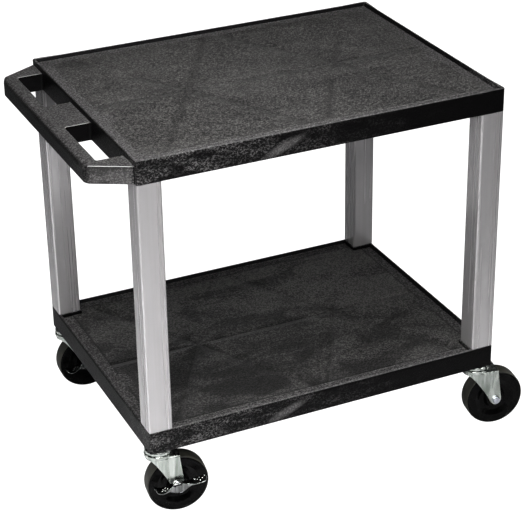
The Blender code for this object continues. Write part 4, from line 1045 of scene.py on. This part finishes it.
for corner in CORNER_SIDES:
    name = corner + "_fork"
    trail, axle_z = caster_axle(corner)
    race_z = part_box(name)[1].z
    crown_z = race_z - CROWN_DEPTH + FORK_PLATE
    bm = bmesh.new()
    fork_sheet(bm, trail, axle_z, crown_z)
    bmesh.ops.remove_doubles(bm, verts=bm.verts, dist=SHEET_WELD)
    bmesh.ops.recalc_face_normals(bm, faces=bm.faces)
    if sum(face.normal.z * face.calc_area() for face in bm.faces) < 0:
        bmesh.ops.reverse_faces(bm, faces=bm.faces)
    thicken(bm, FORK_PLATE, SHEET_EDGE)
    lathe(bm, turned_ring(PIN_HOLE, RACE_RADIUS, crown_z - FORK_PLATE, race_z, RACE_ROUND, 6))
    bm.transform(caster_place(corner))
    fork = finish_mesh(bm, name + "_stamping", (zinc_plate,), 38.0)
    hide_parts(name)
    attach(fork, corner + "_caster")


# The wheels.
# Hard black rubber moulded over a solid core: a crowned tread with a parting line, a raised band,
# a polished dish on each side, and a boss round a natural nylon bush.

TREAD_ROUND = 0.0045
RIM_BAND = 0.0110
DISH_SLOPE = 0.0085
DISH_DEPTH = 0.0045
HUB_BOSS = 0.0150
WHEEL_STEPS = 96
PARTING_RISE = 0.00015
BAND_STEP = 0.0006
RIM_SHARE = 0.8
TREAD_EDGE_SHARE = 0.3

wheel_rubber, tree, shader = new_material("wheel_rubber")
grain = use_effect(tree, pebbled_grain, Size=0.0009, Unevenness=0.7)
smear = spread(tree, noise(tree, surface_place(tree), 42.0, 4.0, 0.62, 0.5), 0.38, 0.66)
wire(tree, shader, {
    "Base Color": blend_colours(tree, smear, (0.0025, 0.0025, 0.0026, 1), (0.0060, 0.0060, 0.0056, 1)),
    "Roughness": scaled(tree, smear, 0.12, 0.14),
    "Specular IOR Level": 0.12,
    "Normal": bumped(tree, grain["Height"], 0.00003, 0.4),
})

tread_rubber, tree, shader = new_material("tread_rubber")
grain = use_effect(tree, pebbled_grain, Size=0.0011, Unevenness=0.9)
dust = spread(tree, noise(tree, surface_place(tree), 70.0, 5.0, 0.65), 0.35, 0.70)
wire(tree, shader, {
    "Base Color": blend_colours(tree, dust, (0.026, 0.026, 0.021, 1), (0.060, 0.059, 0.047, 1)),
    "Roughness": scaled(tree, dust, 0.15, 0.50),
    "Normal": bumped(tree, grain["Height"], 0.00008, 0.6),
})

bush_nylon = nylon_material("bush_nylon", (0.52, 0.51, 0.47), (0.62, 0.61, 0.57), 0.42)


def wheel_profile(radius, half_width, hub_half, bore):
    """Half of the wheel's section, from the middle of the tread to the end of the boss."""
    band_out = radius - TREAD_ROUND
    band_in = band_out - RIM_BAND
    return filleted([
        (radius + PARTING_RISE, 0.0, 0), (radius, PARTING_RISE * 3, 0),
        (radius, half_width, TREAD_ROUND),
        (band_out - BAND_STEP, half_width, BAND_STEP),
        (band_out - 2 * BAND_STEP, half_width - BAND_STEP, BAND_STEP / 2),
        (band_in, half_width - BAND_STEP, DISH_SLOPE / 3),
        (band_in - DISH_SLOPE, half_width - DISH_DEPTH, DISH_SLOPE / 2),
        (HUB_BOSS + DISH_SLOPE / 2, half_width - DISH_DEPTH, DISH_SLOPE / 3),
        (HUB_BOSS, hub_half, BAND_STEP),
        (bore, hub_half, BAND_STEP / 2),
    ], 6)


def axle_place(corner):
    """The axle's own frame: at the wheel's middle, with Y along the axle."""
    trail, axle_z = caster_axle(corner)
    return caster_place(corner) @ Matrix.Translation((trail, 0.0, axle_z))


def axle_points(name, place):
    """How far out from the axle, and how far along it, each corner of a working piece lies."""
    flat = place.inverted()
    offs = [flat @ point for point in node_points(name)]
    return [(math.hypot(off.x, off.z), off.y) for off in offs]


for corner in CORNER_SIDES:
    name = corner + "_wheel"
    place = axle_place(corner)
    flat = place.inverted()
    offs = axle_points(name, place)
    radius = max(out for out, _ in offs)
    bore = min(out for out, _ in offs)
    hub_half = max(abs(y) for _, y in offs)
    half_width = max(abs(y) for out, y in offs if out > radius * RIM_SHARE)
    upper = wheel_profile(radius, half_width, hub_half, bore)
    lower = [Vector((r, -h)) for r, h in reversed(upper[1:])]
    bm = bmesh.new()
    lathe(bm, list(upper) + lower, WHEEL_STEPS, "Y", place)
    for face in bm.faces:
        spot = flat @ face.calc_center_median()
        on_tread = math.hypot(spot.x, spot.z) > radius - TREAD_ROUND * TREAD_EDGE_SHARE
        face.material_index = 1 if on_tread else 0
    wheel = finish_mesh(bm, name + "_moulding", (wheel_rubber, tread_rubber), 60.0)
    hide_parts(name)
    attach(wheel, corner + "_roller")
    coat_node(corner + "_wheel_bush", bush_nylon)
    coat_node(corner + "_axle_spacer", stem_steel)


# The axles.
# A zinc plated hexagon bolt through the fork's legs and the wheel's spacer, with a plain nut and a
# turn of thread showing on the far side. The head is at the front.

HEX_APOTHEM = 0.0057
HEX_CHAMFER = 0.0009
HEX_STEPS = 36
CHAMFER_STEPS = 3
# A turned solid closes on this small radius, and the bolt's domed head on these shares.
POINT_RADIUS = 0.0001
DOME_SHARES = ((0.72, 0.8), (0.35, 1.0))
DOME_RISE = 0.0005
FACE_SHARE = 0.96
THREAD_PITCH = 0.00125
AXLE_RADIUS = 0.0040
SHANK_SHARE = 0.98
THREAD_ROOT_SHARE = 0.87
ROD_END_SHARE = 0.80
HEAD_SHARE = 1.3
ROD_STEPS = 24


def hexagon_ring(height, cap_radius):
    """A hexagon's outline, cut back to a circle where its chamfer reaches."""
    points = []
    for step in range(HEX_STEPS):
        angle = 2 * math.pi * step / HEX_STEPS
        off = (angle + math.pi / 6) % (math.pi / 3) - math.pi / 6
        reach = min(HEX_APOTHEM / math.cos(off), cap_radius)
        points.append(Vector((reach * math.cos(angle), height, reach * math.sin(angle))))
    return points


def hexagon_solid(bm, seat, top, place, dome=0.0):
    """A chamfered hexagon along Y, from the face that bears to the face that shows."""
    way = 1 if top > seat else -1
    corner = HEX_APOTHEM / math.cos(math.pi / 6)
    rings = [hexagon_ring(seat, HEX_APOTHEM), hexagon_ring(seat, corner)]
    for step in range(CHAMFER_STEPS + 1):
        t = step / CHAMFER_STEPS
        cap_radius = corner - (corner - HEX_APOTHEM * FACE_SHARE) * t * t
        rings.append(hexagon_ring(top - way * HEX_CHAMFER * (1 - t), cap_radius))
    if dome:
        face = rings[-1]
        for inward, rise in DOME_SHARES:
            rings.append([Vector((p.x * inward, top + way * dome * rise, p.z * inward)) for p in face])
    loft(bm, [[place @ point for point in ring] for ring in rings], close_start=True, close_end=True)


def threaded_rod(bm, start, end, place):
    """A rod along Y with a thread cut as fine rings, chamfered at its end."""
    profile = [(POINT_RADIUS, start)]
    turns = max(int(abs(end - start) / THREAD_PITCH), 2)
    way = (end - start) / turns
    for turn in range(turns):
        profile += [(AXLE_RADIUS * THREAD_ROOT_SHARE, start + way * turn),
                    (AXLE_RADIUS, start + way * (turn + 0.5))]
    profile += [(AXLE_RADIUS * ROD_END_SHARE, end), (POINT_RADIUS, end)]
    lathe(bm, [(r, -y) for r, y in profile], ROD_STEPS, "Y", place)


bolt_zinc = metal_material("bolt_zinc", (0.50, 0.52, 0.57), (0.66, 0.68, 0.74), 0.24, 0.12, 0.003, 0.00004)

for corner in CORNER_SIDES:
    place = axle_place(corner)
    for name, dome in ((corner + "_axle_bolt", DOME_RISE), (corner + "_axle_nut", 0.0)):
        offs = axle_points(name, place)
        wide = [y for out, y in offs if out > AXLE_RADIUS * HEAD_SHARE]
        near, far = sorted((min(wide), max(wide)), key=abs)
        bm = bmesh.new()
        hexagon_solid(bm, near, far, place, dome)
        if dome:
            tip = max((y for _, y in offs), key=lambda y: -y * math.copysign(1, near))
            shank = AXLE_RADIUS * SHANK_SHARE
            lathe(bm, [(POINT_RADIUS, -near), (shank, -near), (shank, near / 2), (POINT_RADIUS, near / 2)],
                  ROD_STEPS, "Y", place)
            threaded_rod(bm, -near / 2, tip, place)
        piece = finish_mesh(bm, name + "_plated", (bolt_zinc,), 35.0)
        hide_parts(name)
        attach(piece, corner + "_caster")


# The brake pedals.
# On the two handle-side casters: a stamped strip in bright zinc with a patterned pad for the foot
# at each end. Between the pads its outer edge is bent down over the bolt's head, and a plate under
# it turns on the bolt, with a round cam between that plate and the fork.

PEDAL_SHEET = 0.0018
PEDAL_EDGE_BEND = 0.0013
PEDAL_FLARE = 0.0010
PEDAL_SHOULDER = 0.0068
PEDAL_SHOULDER_PLACE = -0.0050
PEDAL_SHOULDER_HALF = 0.0078
PEDAL_SHOULDER_BLEND = 0.0025
PEDAL_HUB_RADIUS = 0.0072
PEDAL_HUB_PLATE = 0.0022
PEDAL_FLARE_DROP = 0.006
PEDAL_STEPS = 110
FLAT_STEPS = 30
EDGE_STEPS = 5
RIM_STEPS = 6
PEDAL_BORE_SHARE = 1.04
PEDAL_TILTS = {"front_left": math.radians(-5.5), "back_left": math.radians(-18.0)}
PEDAL_DRAWN_TILT = math.radians(-5.5)
# Along the pedal from the axle: how far it stands out, and the heights of its top and of its rim.
PEDAL_SECTIONS = (
    (-0.0424, 0.0362, 0.0128, 0.0120), (-0.0412, 0.0396, 0.0106, 0.0094), (-0.0384, 0.0413, 0.0082, 0.0068),
    (-0.0340, 0.0416, 0.0064, 0.0048), (-0.0290, 0.0412, 0.0060, 0.0046), (-0.0245, 0.0392, 0.0064, 0.0042),
    (-0.0205, 0.0366, 0.0072, 0.0036), (-0.0165, 0.0346, 0.0086, 0.0018), (-0.0125, 0.0334, 0.0112, -0.0004),
    (-0.0090, 0.0329, 0.0140, -0.0018), (-0.0045, 0.0327, 0.0150, -0.0027), (0.0000, 0.0327, 0.0146, -0.0024),
    (0.0045, 0.0328, 0.0124, -0.0008), (0.0085, 0.0332, 0.0108, 0.0020), (0.0125, 0.0342, 0.0107, 0.0054),
    (0.0165, 0.0362, 0.0113, 0.0086), (0.0205, 0.0390, 0.0122, 0.0106), (0.0250, 0.0409, 0.0133, 0.0118),
    (0.0300, 0.0415, 0.0142, 0.0127), (0.0350, 0.0414, 0.0152, 0.0137), (0.0385, 0.0396, 0.0164, 0.0151),
    (0.0402, 0.0355, 0.0174, 0.0166),
)
PIP_RADIUS = 0.0018
PIP_RISE = 0.0011
PIPS = ((-0.0285, 0.0300), (-0.0250, 0.0270), (-0.0220, 0.0305), (-0.0265, 0.0342), (-0.0310, 0.0342),
        (0.0225, 0.0262), (0.0262, 0.0300), (0.0302, 0.0264), (0.0344, 0.0300), (0.0380, 0.0266),
        (0.0300, 0.0336))


def pedal_section(x):
    """The pedal's reach, top and rim at this distance along it, by a smooth curve through its sections."""
    spots = PEDAL_SECTIONS
    for i in range(len(spots) - 1):
        if x <= spots[i + 1][0] or i == len(spots) - 2:
            break
    span = spots[i + 1][0] - spots[i][0]
    t = min(max((x - spots[i][0]) / span, 0.0), 1.0)
    values = []
    for key in (1, 2, 3):
        before, start, end, after = (spots[min(max(k, 0), len(spots) - 1)] for k in (i - 1, i, i + 1, i + 2))
        slope_in = (end[key] - before[key]) / (end[0] - before[0]) * span
        slope_out = (after[key] - start[key]) / (after[0] - start[0]) * span
        values.append((2 * t**3 - 3 * t**2 + 1) * start[key] + (t**3 - 2 * t**2 + t) * slope_in
                      + (3 * t**2 - 2 * t**3) * end[key] + (t**3 - t**2) * slope_out)
    return values


def pip_rise(x, out):
    """The height of the pressed pips of the two pads at this spot."""
    rise = 0.0
    for pip in PIPS:
        gap = (Vector((x, out)) - Vector(pip)).length / PIP_RADIUS
        rise = max(rise, PIP_RISE * math.sqrt(1 - gap * gap) if gap < 1 else 0.0)
    return rise


def pedal_line(x, root):
    """The sheet's outer face across the pedal: flat, round the bend and down to the flared rim."""
    reach, top, rim = pedal_section(x)
    inside = (PEDAL_SHOULDER_HALF - abs(x - PEDAL_SHOULDER_PLACE)) / PEDAL_SHOULDER_BLEND
    bend = min(PEDAL_EDGE_BEND, (top - rim) / 2) + PEDAL_SHOULDER * min(max(inside, 0.0), 1.0)
    line = []
    flat_end = reach - bend
    for step in range(FLAT_STEPS + 1):
        out = root + (flat_end - root) * step / FLAT_STEPS
        line.append(Vector((x, -out, top + pip_rise(x, out))))
    for step in range(1, EDGE_STEPS + 1):
        turn = math.pi / 2 * step / EDGE_STEPS
        line.append(Vector((x, -(flat_end + bend * math.sin(turn)), top - bend * (1 - math.cos(turn)))))
    drop = max(top - bend - rim, 0.0)
    for step in range(1, RIM_STEPS + 1):
        flare = PEDAL_FLARE * min(drop / PEDAL_FLARE_DROP, 1.0) * max(step / RIM_STEPS - 0.5, 0.0) * 2
        line.append(Vector((x, -(reach + flare), top - bend - drop * step / RIM_STEPS)))
    return line


# The pedal's zinc is painted much darker than the fork's plating, a painted reflection of the dark wheel over
# its pads.
pedal_zinc_painted_dark = metal_material(
    "pedal_zinc_painted_dark", (0.14, 0.143, 0.140), (0.34, 0.35, 0.345), 0.24, 0.12, 0.0045, 0.00002)

for corner, tilt in PEDAL_TILTS.items():
    place = axle_place(corner)
    bore = AXLE_RADIUS * PEDAL_BORE_SHARE
    name = corner + "_brake_cam"
    offs = axle_points(name, place)
    cam_low, cam_high = min(y for _, y in offs), max(y for _, y in offs)
    cam_radius = max(out for out, _ in offs)
    bm = bmesh.new()
    profile = filleted([(bore, -cam_low, 0), (cam_radius, -cam_low, SHEET_EDGE),
                        (cam_radius, -cam_high, SHEET_EDGE), (bore, -cam_high, 0)], 3)
    lathe(bm, profile, 40, "Y", place)
    cam = finish_mesh(bm, name + "_turned", (stem_steel,), 50.0)
    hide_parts(name)
    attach(cam, corner + "_caster")

    name = corner + "_brake_pedal"
    root = -max(y for _, y in axle_points(name, place))
    tilted = place @ Matrix.Rotation(tilt - PEDAL_DRAWN_TILT, 4, "Y")
    first, last = PEDAL_SECTIONS[0][0], PEDAL_SECTIONS[-1][0]
    bm = bmesh.new()
    grid = [[bm.verts.new(point) for point in pedal_line(first + (last - first) * i / PEDAL_STEPS, root)]
            for i in range(PEDAL_STEPS + 1)]
    for left, right in zip(grid, grid[1:]):
        for i in range(len(left) - 1):
            bm.faces.new((left[i], left[i + 1], right[i + 1], right[i]))
    thicken(bm, PEDAL_SHEET, SHEET_EDGE)
    lathe(bm, turned_ring(bore, PEDAL_HUB_RADIUS, root, root + PEDAL_HUB_PLATE, SHEET_EDGE, 3), 40, "Y")
    web_top = pedal_section(0.0)[1] - PEDAL_SHEET / 2
    soft_box(bm, (-PEDAL_HUB_RADIUS, -root - PEDAL_HUB_PLATE, 0.0), (PEDAL_HUB_RADIUS, -root, web_top),
             SHEET_EDGE)
    bm.transform(tilted)
    pedal = finish_mesh(bm, name + "_stamping", (pedal_zinc_painted_dark,), 35.0)
    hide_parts(name)
    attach(pedal, corner + "_pedal")


# The room.
# A pale paper sweep in a dim room under softboxes. The paper is clear from below, so that the
# underside can be looked at.

FLOOR_REACH = 6.0
PAPER_WHITE = 1.05
SOFT_WALL = Vector((-0.34, -0.94, 0.0))

floor = bpy.data.meshes.new("studio_floor")
floor.from_pydata([(x * FLOOR_REACH, y * FLOOR_REACH, 0) for x, y in ((-1, -1), (1, -1), (1, 1), (-1, 1))],
                  [], [(0, 1, 2, 3)])
sweep = bpy.data.objects.new("studio_floor", floor)
bpy.context.scene.collection.objects.link(sweep)

paper, tree, shader = new_material("studio_paper")
ground = parts_of(tree, surface_place(tree))
# The paper is painted darker towards the right and the back, a painted shade seen only in reflections and
# bounced light; to the camera it shows an even white.
painted_floor_shade = spread(tree, scaled(tree, ground["X"], 0.91, times(tree, ground["Y"], 0.41)), -0.40, 0.90)
wire(tree, shader, {
    "Base Color": blend_colours(tree, painted_floor_shade, (0.85, 0.85, 0.86, 1), (0.14, 0.14, 0.145, 1)),
    "Roughness": 0.85,
})
white = node(tree, "ShaderNodeEmission", {"Color": (1, 1, 1, 1), "Strength": PAPER_WHITE})
seen = node(tree, "ShaderNodeMixShader", {
    0: node(tree, "ShaderNodeLightPath").outputs["Is Camera Ray"], 1: shader.outputs[0], 2: white.outputs[0]})
from_below = node(tree, "ShaderNodeMixShader", {
    0: node(tree, "ShaderNodeNewGeometry").outputs["Backfacing"], 1: seen.outputs[0],
    2: node(tree, "ShaderNodeBsdfTransparent").outputs[0]})
wire(tree, tree.nodes["Material Output"], {"Surface": from_below.outputs[0]})
floor.materials.append(paper)

world = bpy.data.worlds.new("studio")
bpy.context.scene.world = world
world.use_nodes = True
tree = world.node_tree
backdrop = tree.nodes["Background"]
sky = node(tree, "ShaderNodeTexCoord").outputs["Generated"]
toward = node(tree, "ShaderNodeVectorMath", {0: sky, 1: SOFT_WALL}, operation="DOT_PRODUCT").outputs["Value"]
height = parts_of(tree, sky)["Z"]
band = times(tree, spread(tree, toward, -0.10, 0.45), spread(tree, height, 0.30, 0.60))
wire(tree, backdrop, {"Color": (1.0, 1.0, 1.02, 1), "Strength": scaled(tree, band, 0.35, 0.04)})
white = node(tree, "ShaderNodeBackground", {"Color": (1, 1, 1, 1), "Strength": PAPER_WHITE})
seen = node(tree, "ShaderNodeMixShader", {
    0: node(tree, "ShaderNodeLightPath").outputs["Is Camera Ray"], 1: backdrop.outputs[0],
    2: white.outputs[0]})
wire(tree, tree.nodes["World Output"], {"Surface": seen.outputs[0]})


def softbox(name, spot, aim, width, height, power, beam_deg=180.0):
    """A rectangular studio light in watts, turned to its aim, with its beam narrowed if wanted."""
    lamp = bpy.data.lights.new(name, "AREA")
    lamp.shape = "RECTANGLE"
    lamp.size, lamp.size_y = width, height
    lamp.energy = power
    lamp.spread = math.radians(beam_deg)
    holder = bpy.data.objects.new(name, lamp)
    bpy.context.scene.collection.objects.link(holder)
    holder.location = spot
    holder.rotation_euler = (Vector(aim) - Vector(spot)).to_track_quat("-Z", "Y").to_euler()


softbox("front_key", (-0.90, -1.30, 1.60), (-0.25, -0.20, 0.36), 0.6, 0.6, 3.0, 80)
softbox("front_strip", (-0.20, -2.40, 1.90), (-0.10, 0.00, 0.40), 2.6, 0.20, 13.5)
softbox("right_pool", (0.75, -0.90, 0.45), (0.40, -0.30, 0.00), 0.25, 0.25, 0.16, 50)
softbox("overhead", (-0.32, -0.42, 2.1), (-0.12, -0.35, 0.6), 0.9, 0.4, 4.7, 75)
softbox("back_fill", (0.10, 2.60, 0.22), (0.0, 0.0, 0.32), 1.8, 0.3, 8.0)
softbox("side_fill", (2.60, 0.20, 0.30), (0.0, 0.0, 0.30), 1.4, 0.3, 7.0)
softbox("back_wall", (1.15, 2.6, 0.95), (0.0, 0.0, 0.1), 1.4, 0.6, 2.0)
softbox("left_pool", (-1.10, -0.45, 1.30), (-1.05, -0.42, 0.0), 0.7, 0.7, 3.5, 50)


# The camera.
# It stands in front and a little to the left, looking down at the cart through a long lens. Its
# place, its turn and its lens were solved from straight edges and corners.

CAMERA_SPOT = Vector((-1.08591, -2.36264, 1.62299))
CAMERA_AZIMUTH = math.radians(-24.516)
CAMERA_ELEVATION = math.radians(27.206)
CAMERA_ROLL = math.radians(-1.028)
LENS_PX = 1762.16
PICTURE_PX = 522.0

view = bpy.data.cameras.new("studio_camera")
view.sensor_fit = "HORIZONTAL"
view.lens = LENS_PX / PICTURE_PX * view.sensor_width
camera = bpy.data.objects.new("studio_camera", view)
bpy.context.scene.collection.objects.link(camera)
ahead = Vector((-math.sin(CAMERA_AZIMUTH) * math.cos(CAMERA_ELEVATION),
                math.cos(CAMERA_AZIMUTH) * math.cos(CAMERA_ELEVATION), -math.sin(CAMERA_ELEVATION)))
level = ahead.cross(Vector((0, 0, 1))).normalized()
upright = level.cross(ahead)
right = level * math.cos(CAMERA_ROLL) + upright * math.sin(CAMERA_ROLL)
up = right.cross(ahead)
turn = Matrix((right, up, -ahead)).transposed().to_4x4()
camera.matrix_world = Matrix.Translation(CAMERA_SPOT + Vector((*shelf_centre, 0.0))) @ turn
bpy.context.scene.camera = camera
bpy.context.scene.view_settings.view_transform = "Standard"
bpy.context.scene.view_settings.look = "Medium High Contrast"
